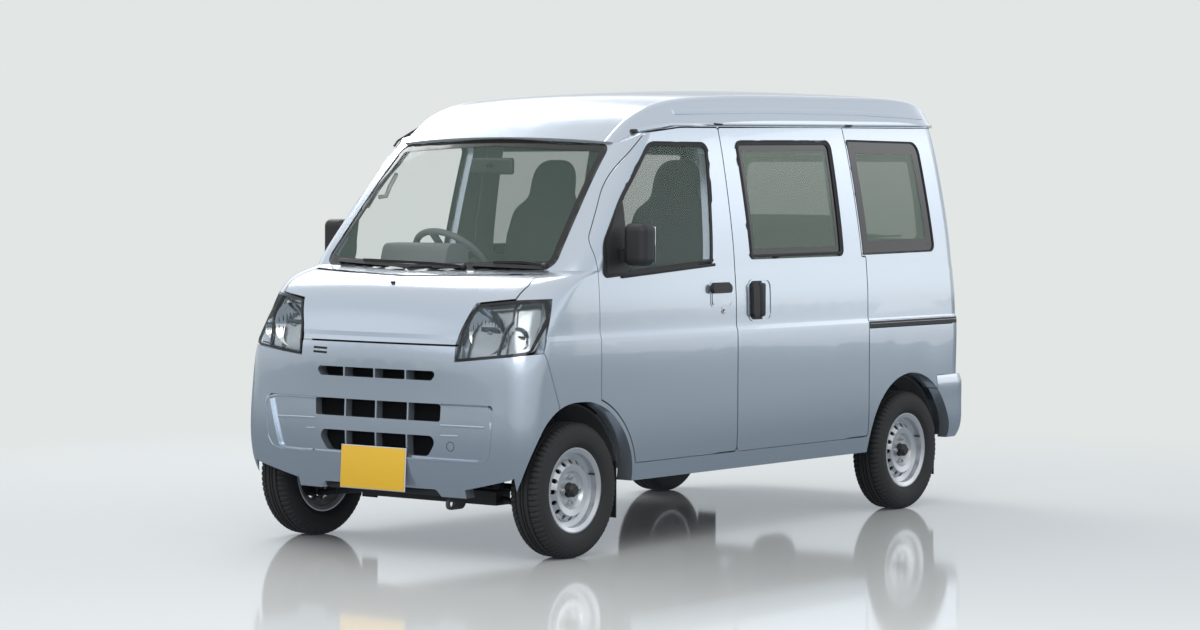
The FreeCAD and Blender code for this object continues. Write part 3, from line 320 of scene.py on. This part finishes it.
def block(name, size, centre, mat, body, bevel=3.0, turn=None, segments=3):
    """Box with rounded edges; turn is a matrix in the frame's axes."""
    tidy = bmesh.new()
    bmesh.ops.create_cube(tidy, size=1.0)
    bmesh.ops.scale(tidy, vec=Vector(size) * MM, verts=tidy.verts)
    limit = min(size) * 0.49
    bmesh.ops.bevel(tidy, geom=tidy.edges[:], offset=min(bevel, limit) * MM, segments=segments,
                    profile=0.5, affect="EDGES")
    mesh = bpy.data.meshes.new(name)
    tidy.to_mesh(mesh)
    tidy.free()
    if turn is not None:
        mesh.transform(turn.to_4x4())
    mesh.transform(Matrix.Translation(centre))
    mesh.materials.append(mat)
    mesh.shade_smooth()
    mesh.set_sharp_from_angle(angle=math.radians(40))
    obj = bpy.data.objects.new(name, mesh)
    bpy.context.scene.collection.objects.link(obj)
    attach(obj, body)
    return obj


def spun(name, profile, centre, axis, mat, body, steps=40):
    """Profile of (distance along the axis, radius) turned round the axis."""
    axis = Vector(axis).normalized()
    side = axis.orthogonal().normalized()
    up = axis.cross(side)
    rows = []
    for u, r in profile:
        rows.append([centre + (axis * u + (side * math.cos(a) + up * math.sin(a)) * r) * MM
                     for a in (2 * math.pi * k / steps for k in range(steps))])
    verts = [v for row in rows for v in row]
    faces = [(r * steps + i, r * steps + (i + 1) % steps, (r + 1) * steps + (i + 1) % steps,
              (r + 1) * steps + i) for r in range(len(rows) - 1) for i in range(steps)]
    faces.append(list(range(steps)))
    faces.append([(len(rows) - 1) * steps + i for i in reversed(range(steps))])
    return piece(name, verts, faces, mat, body)


def bar(name, points, radius, mat, body, steps=12):
    """Round bar through 3-D points in metres."""
    rows = [[] for _ in range(steps)]
    for i, p in enumerate(points):
        along = (points[min(i + 1, len(points) - 1)] - points[max(i - 1, 0)]).normalized()
        side = along.cross(Vector((0, 0, 1)))
        side = side.normalized() if side.length > 0.05 else Vector((1, 0, 0))
        up = side.cross(along)
        for k, row in enumerate(rows):
            a = 2 * math.pi * k / steps
            row.append(p + (side * math.cos(a) + up * math.sin(a)) * radius * MM)
    return tube_of(name, rows, mat, body, closed=False)


SIDES = (("left", 1), ("right", -1))

# Windows: outlines of the panes, (distance behind the front axle, z, corner radius)
FRONT_WINDOW = (
    (158, 1085, 30), (176, 1218, 150), (330, 1410, 700), (562, 1628, 90), (974, 1630, 45), (914, 1131, 30),
)
SLIDE_WINDOW = ((1186, 1143, 32), (1172, 1640, 42), (1906, 1651, 42), (1906, 1147, 32))
QUARTER_WINDOW = ((2066, 1149, 12), (2042, 1655, 12), (2640, 1653, 60), (2676, 1157, 34))
WINDSHIELD = (
    (-599, 1120, 45), (-541, 1616, 45), (0, 1641, 0), (541, 1616, 45), (599, 1120, 45), (0, 1104, 0),
)
TAILGATE_WINDOW = ((-520, 1175, 60), (-484, 1600, 70), (484, 1600, 70), (520, 1175, 60))


def window_borders():
    """Black seals and printed borders round every pane."""
    ring("windshield_border", rounded(WINDSHIELD), 32, Skin("windshield").front(), 0.8, GLOSS_BLACK, "root")
    ring("tailgate_border", rounded(TAILGATE_WINDOW), 34, Skin("tailgate_glass").rear(), 0.8, GLOSS_BLACK, "tailgate")
    for side, way in SIDES:
        pane = Skin("side_glass").side(way)
        opening = Skin("side_glass", "slide_door_" + side, "side_frame_" + side).side(way)
        ring("slide_seal_" + side, rounded(SLIDE_WINDOW), 20, opening, 5.5, RUBBER, "root")
        ring("slide_frit_" + side, shifted(rounded(SLIDE_WINDOW), 19), 26, pane, 0.6, GLOSS_BLACK, "root")
        ring("quarter_seal_" + side, rounded(QUARTER_WINDOW), 8, opening, 3.0, RUBBER, "root")
        ring("quarter_frit_" + side, shifted(rounded(QUARTER_WINDOW), 7), 52, pane, 0.6, GLOSS_BLACK, "root")
        front = Skin("front_door_glass_" + side, "front_door_" + side).side(way)
        body = "front_door_%s_body" % side
        ring("front_seal_" + side, rounded(FRONT_WINDOW), 17, front, 5.0, RUBBER, body)


# Wheels

TREAD_BLOCKS = 72
TYRE_PROFILE = (
    (45.7, 153.6), (50.6, 167.6), (57, 168), (63, 178), (66, 180), (70, 190), (71.6, 200), (72.5, 212),
    (71.5, 224), (70.5, 225), (69, 236), (64, 250), (58, 257), (52, 261.5),
)
TREAD_GROOVES = ((46, 264), (33, 264.6), (31, 257), (27, 257), (25, 264.8), (11, 265), (9, 257.5), (5, 257.5), (3, 265))
SHOULDER_DROP = 6.0


def tyre_mesh():
    """Tyre with circumferential grooves and cross cuts between shoulder blocks."""
    half = [(u, r, 1 if u < 66 and r > 240 else 0) for u, r in TYRE_PROFILE]
    half += [(u, r, 2 if u > 26 and r > 260 else 0) for u, r in TREAD_GROOVES]
    inside = [(-34, 153.6, 0), (-34, 168, 0), (34, 168, 0), (34, 153.6, 0)]
    profile = half + [(-u, r, cut) for u, r, cut in reversed(half)] + inside
    steps = TREAD_BLOCKS * 4
    rows = []
    for u, r, cut in profile:
        row = []
        for k in range(steps):
            a = 2 * math.pi * k / steps
            notch = cut and (k + (2 if u < 0 else 0)) % 4 == 0
            radius = r - (SHOULDER_DROP if notch else 0)
            row.append(Vector((u, radius * math.cos(a), radius * math.sin(a))) * MM)
        rows.append(row)
    return rows


def wheels():
    """Tyres with tread, hub caps, wheel nuts and valves."""
    rows = tyre_mesh()
    source = tube_of("tyre_master", rows, TYRE, None, closed=True)
    nut = ((40, 8), (40, 10.5), (43, 10.5), (54, 8.5), (58, 6), (58, 1))
    cap = ((24, 27), (47.5, 27), (50, 25), (56, 22), (60, 18), (60, 1))
    for place, y in (("front", 0.0), ("rear", WHEELBASE)):
        for side, way in SIDES:
            name = place + "_" + side
            body = "wheel_" + name
            hub = at(way * WHEEL_X, y, TYRE_RADIUS)
            obj = bpy.data.objects.new("tyre_tread_" + name, source.data)
            bpy.context.scene.collection.objects.link(obj)
            obj.location = hub
            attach(obj, body)
            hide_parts("tyre_" + name)
            axis = (way, 0, 0)
            spun("hub_cap_" + name, cap, hub, axis, BLACK, body, 32)
            for i in range(4):
                turn = math.pi / 2 * i
                at_nut = hub + Vector((0, math.cos(turn), math.sin(turn))) * 50 * MM
                spun("nut_%s_%d" % (name, i), nut, at_nut - Vector(axis) * 14 * MM, axis, STEEL, body, 6)
            valve = hub + Vector((0, math.cos(0.4), math.sin(0.4))) * 139 * MM
            spun("valve_" + name, ((25, 3.5), (52, 3), (56, 2)), valve, axis, BLACK, body, 8)
    bpy.data.objects.remove(source)


# Lamps
LAMP_FRONT = (
    (396, 768, 16), (413, 892, 60), (450, 990, 30), (603, 1008, 0), (699, 1013, 24), (722, 940, 60), (712, 806, 24),
    (639, 794, 0),
)
LAMP_DEPTH = 42.0
LAMP_DIVISION = ((606, 1000), (622, 930), (600, 890), (588, 800))
MAIN_BOWL = (512, 884, 88)
INDICATOR_BOWL = (654, 862, 44)
FLUTES = 11


def bowl(name, centre, radius, depth, bulb):
    """Bright reflector dish open to the front, with ribs across its upper half and a bulb in its middle; the ribs and
    the bar over the bulb take a dark colour that paints the reflector's shade.
    """
    steps = 8
    dish = [(-depth * (k / steps) ** 2, max(2, radius * k / steps)) for k in range(steps + 1)]
    shell = [(u + 2.5, r) for u, r in reversed(dish)]
    spun(name, dish + shell, centre, (0, 1, 0), CHROME, "root", 48)
    spun(name + "_bulb", ((-depth * 0.7, 2), (-depth * 0.66, radius * 0.11), (-depth * 0.2, radius * 0.13),
                          (-1, radius * 0.13)), centre, (0, 1, 0), bulb, "root", 20)
    for k in range(FLUTES):
        u = (k + 0.5) / FLUTES * 2 - 1
        reach = radius * 0.9 * math.sqrt(1 - u * u)
        for half in (1, -1):
            deep = centre + Vector((u * radius * 0.93, -depth * (0.1 + 0.62 * (u * u + 0.2)), half * reach * 0.56)) * MM
            block("%s_flute_%d_%d" % (name, k, half + 1), (2.2, 7, reach * 0.7), deep, REFLECTOR_PAINTED_SHADE, "root", 0.8, None, 1)
    block(name + "_shade", (radius * 0.9, 8, radius * 0.2), centre + Vector((0, -depth * 0.62, radius * 0.12)) * MM,
          REFLECTOR_PAINTED_SHADE, "root", 3)


def headlamps():
    """Clear lenses over a silvered housing with a main bowl and an indicator bowl."""
    skin = Skin("headlamps")
    for side, way in SIDES:
        def place(x, z, lift, way=way):
            return skin.hit(at(way * x, -FAR, z), Vector((0, 1, 0)), lift)

        def back(x, z, lift, way=way):
            return place(x, z, 0, way) + Vector((-way * 0.5, 1, 0)) * (LAMP_DEPTH - lift) * MM
        outline = rounded(LAMP_FRONT)
        patch("headlamp_lens_" + side, shifted(outline, 3), place, -0.5, LENS, "root", sink=2.0)
        ring("headlamp_edge_" + side, shifted(outline, 1.5), 9, place, 0.3, GLOSS_BLACK, "root", sink=12)
        patch("headlamp_housing_" + side, shifted(outline, 3), back, 0, SILVERED, "root")
        strip("headlamp_division_" + side, LAMP_DIVISION, 6, -3, place, GLOSS_BLACK, "root", sink=20)
        x, z, radius = MAIN_BOWL
        bowl("main_bowl_" + side, place(x, z, 0) + Vector((-way * 4, 66, 0)) * MM, radius, 44, STEEL)
        x, z, radius = INDICATOR_BOWL
        bowl("indicator_bowl_" + side, place(x, z, 0) + Vector((-way * 16, 62, 0)) * MM, radius, 26, AMBER)
    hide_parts("headlamps")


RECESS_LINES = (
    ((-339, 390), (-513, 384), (-560, 394), (-584, 425), (-594, 495), (-598, 570), (-588, 590), (-560, 597),
     (-450, 599), (-324, 598)),
    ((324, 600), (457, 603), (548, 602), (568, 588), (573, 515), (560, 420), (548, 396), (524, 386), (336, 386),
     (172, 381)),
)
BAR_LINES = (
    ((-540, 514), (-430, 517), (-324, 518)), ((324, 519), (430, 520), (532, 520)),
    ((-372, 474), (-326, 476)), ((326, 479), (408, 481)),
)


def front_details():
    """Plate, vent slots, washer nozzle, hook cover, underpanel and wiper arms."""
    bumper = Skin("front_bumper")
    on_bumper = bumper.front()
    low = on_bumper(0, 338, 0)
    tilt = Matrix.Rotation(math.radians(-3), 3, "X")
    block("plate_front", (330, 3, 165), low + Vector((0, -16, 0)) * MM, PLATE, "root", 1.4, tilt)
    block("plate_backing", (336, 4, 171), low + Vector((0, -12.6, 0)) * MM, PLATE_EDGE, "root", 1.8, tilt)
    for x in (-90, 90):
        block("plate_stay_%d" % x, (24, 24, 40), low + Vector((x, -2, 10)) * MM, CHASSIS, "root", 2)
    for k, line in enumerate(RECESS_LINES + BAR_LINES):
        strip("bumper_crease_%d" % k, line, 9, 2.6, on_bumper, PAINT, "root")
    for k, z in enumerate((801, 784)):
        strip("vent_slot_%d" % k, ((-330, z), (-255, z - 2)), 9, 0.6, on_bumper, GLOSS_BLACK, "root")
    cover = [Vector((372 + 19 * math.cos(a), 440 + 19 * math.sin(a))) for a in (
        math.pi * k / 12 for k in range(24))]
    # Thin dark ring round the hook cover: painted shade in its gap.
    ring("hook_cover", cover, 2.0, on_bumper, 0.5, SEAM_PAINTED_SHADE, "root", step=100)
    block("underpanel", (620, 90, 26), at(0, -262, 252), CHASSIS, "root", 8)
    hood = Skin("hood_panel").front()
    nozzle = hood(0, 1062, 3)
    block("washer_nozzle", (20, 16, 9), nozzle, BLACK, "hood", 4)
    glass = Skin("windshield").front()
    strip("wiper_arm_right", ((206, 1122), (60, 1131), (-140, 1135), (-330, 1137)), 10, 19, glass, BLACK, "root", sink=-8)
    strip("wiper_arm_left", ((552, 1131), (470, 1141), (340, 1140)), 10, 19, glass, BLACK, "root", sink=-8)
    for x, z in ((212, 1120), (556, 1128)):
        spun("wiper_pivot_%d" % x, ((0, 13), (16, 12), (20, 8), (21, 1)), glass(x, z, 0), (0, -0.6, 0.8),
             BLACK, "root", 20)


RAIL_LINE = ((548, 1668), (600, 1677), (765, 1699), (1400, 1708), (2716, 1727), (2862, 1729))
STEP_LINE = ((820, 1752), (1500, 1771), (2200, 1776), (2750, 1768))
CLIPS = (1040, 2040)


def roof_details():
    """Drip rails with their clips, the step along the roof's sides and the aerial."""
    skin = Skin("roof_panel", "side_frame_left", "side_frame_right")
    for side, way in SIDES:
        on_side = skin.side(way)
        strip("drip_rail_" + side, RAIL_LINE, 11, 7, on_side, PAINT, "root")
        # Dark line under each drip rail: painted shadow.
        strip("drip_shadow_" + side, [(y, z - 9) for y, z in RAIL_LINE[1:]], 5, 0.8, on_side, SEAM_PAINTED_SHADE, "root")
        strip("roof_step_" + side, STEP_LINE, 20, 4, on_side, PAINT, "root")
        for y in CLIPS:
            strip("rail_clip_%s_%d" % (side, y), ((y, 1704 + (y - 1040) * 0.012), (y + 58, 1704.6 + (y - 1040) * 0.012)),
                  9, 9, on_side, BLACK, "root")
        block("roof_clip_" + side, (22, 30, 16), on_side(556, 1668, 3), BLACK, "root", 5)
    foot = Skin("front_body", "roof_panel", "side_frame_right").side(-1)
    bar("aerial", [foot(470, 1607, 8), foot(500, 1628, 10), foot(600, 1690, 12)], 5, BLACK, "root")


def side_details():
    """Handles, locks, mirror glasses, slide-rail channels and the sill seal."""
    for side, way in SIDES:
        body = "front_door_%s_body" % side
        door = Skin("front_door_" + side).side(way)
        slide = Skin("slide_door_" + side).side(way)
        flap = rounded(((893, 962, 16), (893, 1012, 4), (1027, 1012, 4), (1027, 962, 16)))
        patch("handle_flap_" + side, flap, door, 5, PAINT, body)
        ring("handle_rim_" + side, rounded(((884, 953, 18), (884, 1058, 18), (1036, 1058, 18), (1036, 953, 18))),
             5, door, 2.5, PAINT, body)
        patch("handle_cup_" + side, rounded(((886, 1008, 10), (886, 1056, 14), (1034, 1056, 14), (1034, 1008, 10))),
              door, 0.6, BLACK, body)
        lock = door(974, 937, 0)
        spun("door_lock_" + side, ((0, 13), (2.5, 13), (3, 10), (1.5, 9), (1.5, 1)), lock, (way, 0, 0), STEEL, body, 24)
        spun("lock_slot_" + side, ((0, 5), (2.2, 5), (2.4, 1)), lock, (way, 0, 0), GLOSS_BLACK, body, 12)
        cup = rounded(((1160, 885, 34), (1160, 1062, 34), (1330, 1062, 34), (1330, 885, 34)))
        ring("slide_handle_rim_" + side, cup, 7, slide, 3.5, PAINT, "root")
        # Black patch over the front part of the handle recess: painted shade in the recess.
        patch("slide_handle_cup_" + side, rounded(((1168, 893, 26), (1168, 1054, 26), (1262, 1054, 4), (1262, 893, 4))),
              slide, 0.8, BLACK, "root")
        block("slide_handle_grip_" + side, (20, 40, 140), slide(1242, 975, 12), BLACK, "root", 9)
        glass = at(way * 790, 346, 1218)
        block("mirror_glass_" + side, (92, 4, 140), glass, CHROME, body, 1.8)
        block("sill_seal_" + side, (9, 640, 12), door(600, 1108, 5), RUBBER, body, 3,
              Matrix.Rotation(math.radians(3.4), 3, "X"))
        rail = Skin("side_frame_" + side).side(way)
        # Dark strip along the slide rail: painted shade in its channel.
        strip("slide_channel_" + side, ((2098, 843), (2856, 843)), 36, 0.5, rail, SEAM_PAINTED_SHADE, "root")
        strip("slide_rail_edge_" + side, ((2098, 846), (2856, 846)), 3, 4.5, rail, STEEL, "root")


def pillow(name, loop, front, back, place, mat, body):
    """Stuffed form over an outline: it swells from its edge towards the middle on both faces."""
    outer = spaced(loop, 30)
    centre = sum(outer, Vector((0, 0))) / len(outer)
    rows = []
    shares = (0.15, 0.4, 0.62, 0.8, 0.92, 0.98, 1.0)
    for share in shares:
        rows.append([place(*(centre + (p - centre) * share), front * (1 - share ** 3) ** 0.5) for p in outer])
    for share in reversed(shares[:-1]):
        rows.append([place(*(centre + (p - centre) * share), -back * (1 - share ** 3) ** 0.5) for p in outer])
    n = len(outer)
    verts = [v for row in rows for v in row]
    faces = [(r * n + i, r * n + (i + 1) % n, (r + 1) * n + (i + 1) % n, (r + 1) * n + i)
             for r in range(len(rows) - 1) for i in range(n)]
    faces.append(list(reversed(range(n))))
    faces.append([(len(rows) - 1) * n + i for i in range(n)])
    obj = piece(name, verts, faces, mat, body)
    rounder = obj.modifiers.new("round", "SUBSURF")
    rounder.levels = 1
    rounder.render_levels = 1
    return obj


SEAT_X = 330.0
SEAT_BACK = (
    (-215, 800, 40), (-222, 1230, 70), (-200, 1345, 75), (-122, 1400, 60), (-112, 1562, 78), (112, 1562, 78),
    (122, 1400, 60), (200, 1345, 75), (222, 1230, 70), (215, 800, 40),
)


def seats():
    """Padded front seats, each back in one piece with its head restraint, and the rear bench."""
    first = []
    for side, way in (("left", 1), ("right", -1)):
        def upright(u, z, lift, way=way):
            lean = (z - 800) * 0.20
            return at(way * SEAT_X + u, 1062 + lean - lift, z)

        def flat(u, y, lift, way=way):
            return at(way * SEAT_X + u, y, 752 + lift - (y - 600) * 0.03)
        back = pillow("seat_back_" + side, rounded(SEAT_BACK, 4), 46, 38, upright, CLOTH, "root")
        base = rounded(((-232, 592, 60), (-232, 1060, 40), (232, 1060, 40), (232, 592, 60)), 4)
        cushion = pillow("seat_cushion_" + side, base, 62, 40, flat, CLOTH, "root")
        block("seat_plinth_" + side, (360, 420, 74), at(way * SEAT_X, 840, 668), TRIM_DARK, "root", 10)
        first += [back, cushion]
    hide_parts("front_seats")

    def bench_back(u, z, lift):
        return at(u, 2040 + (z - 860) * 0.16 - lift, z)

    def bench_seat(u, y, lift):
        return at(u, y, 872 + lift)
    back = pillow("bench_back", rounded(((-560, 862, 40), (-560, 1325, 60), (560, 1325, 60), (560, 862, 40)), 4), 34, 28,
                  bench_back, CLOTH, "root")
    base = pillow("bench_cushion", rounded(((-560, 1562, 50), (-560, 2020, 40), (560, 2020, 40), (560, 1562, 50)), 4),
                  48, 34, bench_seat, CLOTH, "root")
    for x in (-450, 450):
        block("bench_leg_%d" % x, (40, 370, 215), at(x, 1805, 738), TRIM_DARK, "root", 6)
    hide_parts("rear_bench")


def cabin_details():
    """Grab handle on the driver's pillar, sun visors and the instrument panel's face."""
    grip = [at(-585, 322, 1395), at(-562, 345, 1400), at(-548, 352, 1440), at(-552, 392, 1482), at(-572, 420, 1490)]
    bar("grab_handle", grip, 9, HEADLINER, "root")
    for side, way in SIDES:
        block("sun_visor_" + side, (330, 130, 14), at(way * 310, 560, 1628), HEADLINER, "root", 6,
              Matrix.Rotation(math.radians(14), 3, "X"))
    block("instrument_face", (230, 6, 84), at(-SEAT_X, 397, 1160), GLOSS_BLACK, "root", 3)
    block("centre_console", (250, 8, 170), at(0, 404, 1020), TRIM_DARK, "root", 4)
    for x in (-70, 70):
        block("centre_vent_%d" % x, (100, 8, 50), at(x, 408, 1066), GLOSS_BLACK, "root", 3)


def rear_details():
    """Lamp segments, tailgate handle, wiper, high lamp and bumper reflectors."""
    lamps = Skin("tail_lamps")
    panel = Skin("tailgate_panel").rear()
    for side, way in SIDES:
        def place(x, z, lift, way=way):
            return lamps.hit(at(way * x, 2 * FAR, z), Vector((0, -1, 0)), lift)
        for name, low, high, mat in (("indicator", 842, 950, AMBER), ("reversing", 652, 716, SMOKE)):
            patch("tail_%s_%s" % (name, side), rounded(((638, low, 6), (638, high, 6), (680, high, 6), (680, low, 6))),
                  place, 1.2, mat, "root")
        bumper = Skin("rear_bumper").rear()
        patch("rear_reflector_" + side, rounded(((way * 560, 480, 4), (way * 560, 505, 4), (way * 640, 505, 4),
                                                (way * 640, 480, 4))), bumper, 1.5, RED, "root")
    handle = rounded(((-190, 905, 14), (-190, 950, 14), (190, 950, 14), (190, 905, 14)))
    patch("tailgate_handle", handle, panel, 10, PAINT, "tailgate")
    patch("tailgate_grip", rounded(((-80, 896, 6), (-80, 912, 6), (80, 912, 6), (80, 896, 6))), panel, 6, BLACK, "tailgate")
    glass = Skin("tailgate_glass").rear()
    strip("rear_wiper_arm", ((0, 1185), (120, 1215), (250, 1222)), 12, 20, glass, BLACK, "tailgate", sink=-6)
    strip("rear_wiper_blade", ((60, 1205), (390, 1222)), 9, 10, glass, BLACK, "tailgate")
    spun("rear_wiper_pivot", ((0, 20), (22, 18), (28, 10), (29, 1)), glass(0, 1182, 0), (0, 1, 0), BLACK, "tailgate", 24)
    patch("high_lamp", rounded(((-110, 1648, 6), (-110, 1672, 6), (110, 1672, 6), (110, 1648, 6))), panel, 3, RED,
          "tailgate")


def interior_lining():
    """Trim on the inner faces of the panels, paler on the roof and the windshield pillars."""
    glass = Skin("windshield").tree
    ahead = Vector((0, -1, 0.25)).normalized()
    for side, way in SIDES:
        for node in ("side_frame_" + side, "slide_door_" + side, "front_door_" + side):
            line_inside(node, TRIM, lambda c, n, way=way: n.x * way < -0.4)
    for node in ("side_frame_left", "side_frame_right", "roof_panel", "front_door_left", "front_door_right"):
        line_inside(node, HEADLINER, lambda c, n: n.y < 0.5 and glass.ray_cast(c + n * 4 * MM, ahead)[0] is not None)
    line_inside("roof_panel", HEADLINER, lambda c, n: n.z < -0.3)
    line_inside("front_body", TRIM_DARK, lambda c, n: n.y > 0.3 and c.z > 0.6)
    line_inside("tailgate_panel", TRIM, lambda c, n: n.y < -0.4)


BACKDROP = (0.76, 0.79, 0.78)
FLOOR_COLOUR = (0.72, 0.73, 0.715)
# Colour the floor shows in reflections instead of its lit self: painted reflection that darkens the object's lower
# sides.
FLOOR_PAINTED_REFLECTION = (0.20, 0.24, 0.28)
SKY_STRENGTH = 0.95
SKY = ((0, (0.76, 0.79, 0.78)), (0.13, (0.78, 0.81, 0.81)), (0.22, (1.3, 1.33, 1.38)), (0.42, (0.85, 0.90, 0.96)),
       (1, (0.55, 0.60, 0.66)))
FADE_START = 2.8
FADE_END = 6.0


def floor_material():
    """Pale glossy floor that meets the backdrop's colour far from the object; in reflections it glows a fixed dark
    colour, a painted reflection that darkens the object's lower sides.
    """
    mat = material("studio_floor", FLOOR_COLOUR, 0.07, Specular_IOR_Level=0.3)
    tree = mat.node_tree
    shader = tree.nodes["Principled BSDF"]
    coords = tree.nodes.new("ShaderNodeTexCoord")
    length = tree.nodes.new("ShaderNodeVectorMath")
    length.operation = "LENGTH"
    fade = tree.nodes.new("ShaderNodeMapRange")
    fade.interpolation_type = "SMOOTHSTEP"
    fade.inputs["From Min"].default_value = FADE_START
    fade.inputs["From Max"].default_value = FADE_END
    far = tree.nodes.new("ShaderNodeEmission")
    far.inputs["Color"].default_value = (*BACKDROP, 1)
    # Glow seen only by glossy rays: painted reflection.
    painted_reflection = tree.nodes.new("ShaderNodeEmission")
    painted_reflection.inputs["Color"].default_value = (*FLOOR_PAINTED_REFLECTION, 1)
    path = tree.nodes.new("ShaderNodeLightPath")
    distance = tree.nodes.new("ShaderNodeMixShader")
    mirrored = tree.nodes.new("ShaderNodeMixShader")
    tree.links.new(coords.outputs["Object"], length.inputs[0])
    tree.links.new(length.outputs["Value"], fade.inputs["Value"])
    tree.links.new(fade.outputs["Result"], distance.inputs["Fac"])
    tree.links.new(shader.outputs["BSDF"], distance.inputs[1])
    tree.links.new(far.outputs["Emission"], distance.inputs[2])
    tree.links.new(path.outputs["Is Glossy Ray"], mirrored.inputs["Fac"])
    tree.links.new(distance.outputs["Shader"], mirrored.inputs[1])
    tree.links.new(painted_reflection.outputs["Emission"], mirrored.inputs[2])
    tree.links.new(mirrored.outputs["Shader"], tree.nodes["Material Output"].inputs["Surface"])
    return mat


def stage():
    """Pale floor and backdrop, soft lamps and the photograph's camera."""
    scene = bpy.context.scene
    scene.view_settings.view_transform = "Standard"
    world = bpy.data.worlds.new("studio")
    scene.world = world
    world.use_nodes = True
    tree = world.node_tree
    back = tree.nodes["Background"]
    back.inputs["Strength"].default_value = SKY_STRENGTH
    coords = tree.nodes.new("ShaderNodeTexCoord")
    split = tree.nodes.new("ShaderNodeSeparateXYZ")
    ramp = tree.nodes.new("ShaderNodeValToRGB")
    for place, colour in SKY:
        stop = ramp.color_ramp.elements.new(place) if place not in (0, 1) else ramp.color_ramp.elements[place]
        stop.color = (*colour, 1)
    tree.links.new(coords.outputs["Generated"], split.inputs["Vector"])
    tree.links.new(split.outputs["Z"], ramp.inputs["Fac"])
    tree.links.new(ramp.outputs["Color"], back.inputs["Color"])
    shown = tree.nodes.new("ShaderNodeBackground")
    shown.inputs["Color"].default_value = (*BACKDROP, 1)
    shown.inputs["Strength"].default_value = 1.0
    path = tree.nodes.new("ShaderNodeLightPath")
    mix = tree.nodes.new("ShaderNodeMixShader")
    tree.links.new(path.outputs["Is Camera Ray"], mix.inputs["Fac"])
    tree.links.new(back.outputs["Background"], mix.inputs[1])
    tree.links.new(shown.outputs["Background"], mix.inputs[2])
    tree.links.new(mix.outputs["Shader"], tree.nodes["World Output"].inputs["Surface"])

    bpy.ops.mesh.primitive_plane_add(size=120, location=(0, 0, 0))
    floor = bpy.context.object
    floor.name = "studio_floor"
    floor.data.materials.append(floor_material())

    for name, place, size, power in (
            ("key", (3.0, -6.0, 4.5), 4.0, 130), ("side", (5.2, 7.4, 2.2), 3.6, 34),
            ("back", (-4.6, 2.2, 6.0), 4.5, 300)):
        lamp = bpy.data.lights.new(name, "AREA")
        lamp.size = size
        lamp.energy = power
        obj = bpy.data.objects.new(name, lamp)
        scene.collection.objects.link(obj)
        obj.location = place
        obj.rotation_mode = "QUATERNION"
        obj.rotation_quaternion = (Vector((0, 0, 0.8)) - Vector(place)).to_track_quat("-Z", "Y")

    yaw, pitch, roll = (math.radians(a) for a in (36.95, 2.38, 0.304))
    forward = Vector((-math.sin(yaw) * math.cos(pitch), math.cos(yaw) * math.cos(pitch), -math.sin(pitch)))
    right = forward.cross(Vector((0, 0, 1))).normalized()
    up = right.cross(forward)
    right, up = (right * math.cos(roll) + up * math.sin(roll), up * math.cos(roll) - right * math.sin(roll))
    camera_data = bpy.data.cameras.new("camera")
    camera_data.lens = 94.467
    camera_data.sensor_width = 36
    camera_data.sensor_fit = "HORIZONTAL"
    camera_data.clip_end = 200
    camera = bpy.data.objects.new("camera", camera_data)
    scene.collection.objects.link(camera)
    turn = Matrix((right, up, -forward)).transposed()
    camera.matrix_world = Matrix.Translation((8.1146, -11.0089, 1.4548)) @ turn.to_4x4()
    scene.camera = camera


interior_lining()
window_borders()
wheels()
headlamps()
front_details()
roof_details()
side_details()
seats()
cabin_details()
rear_details()
stage()
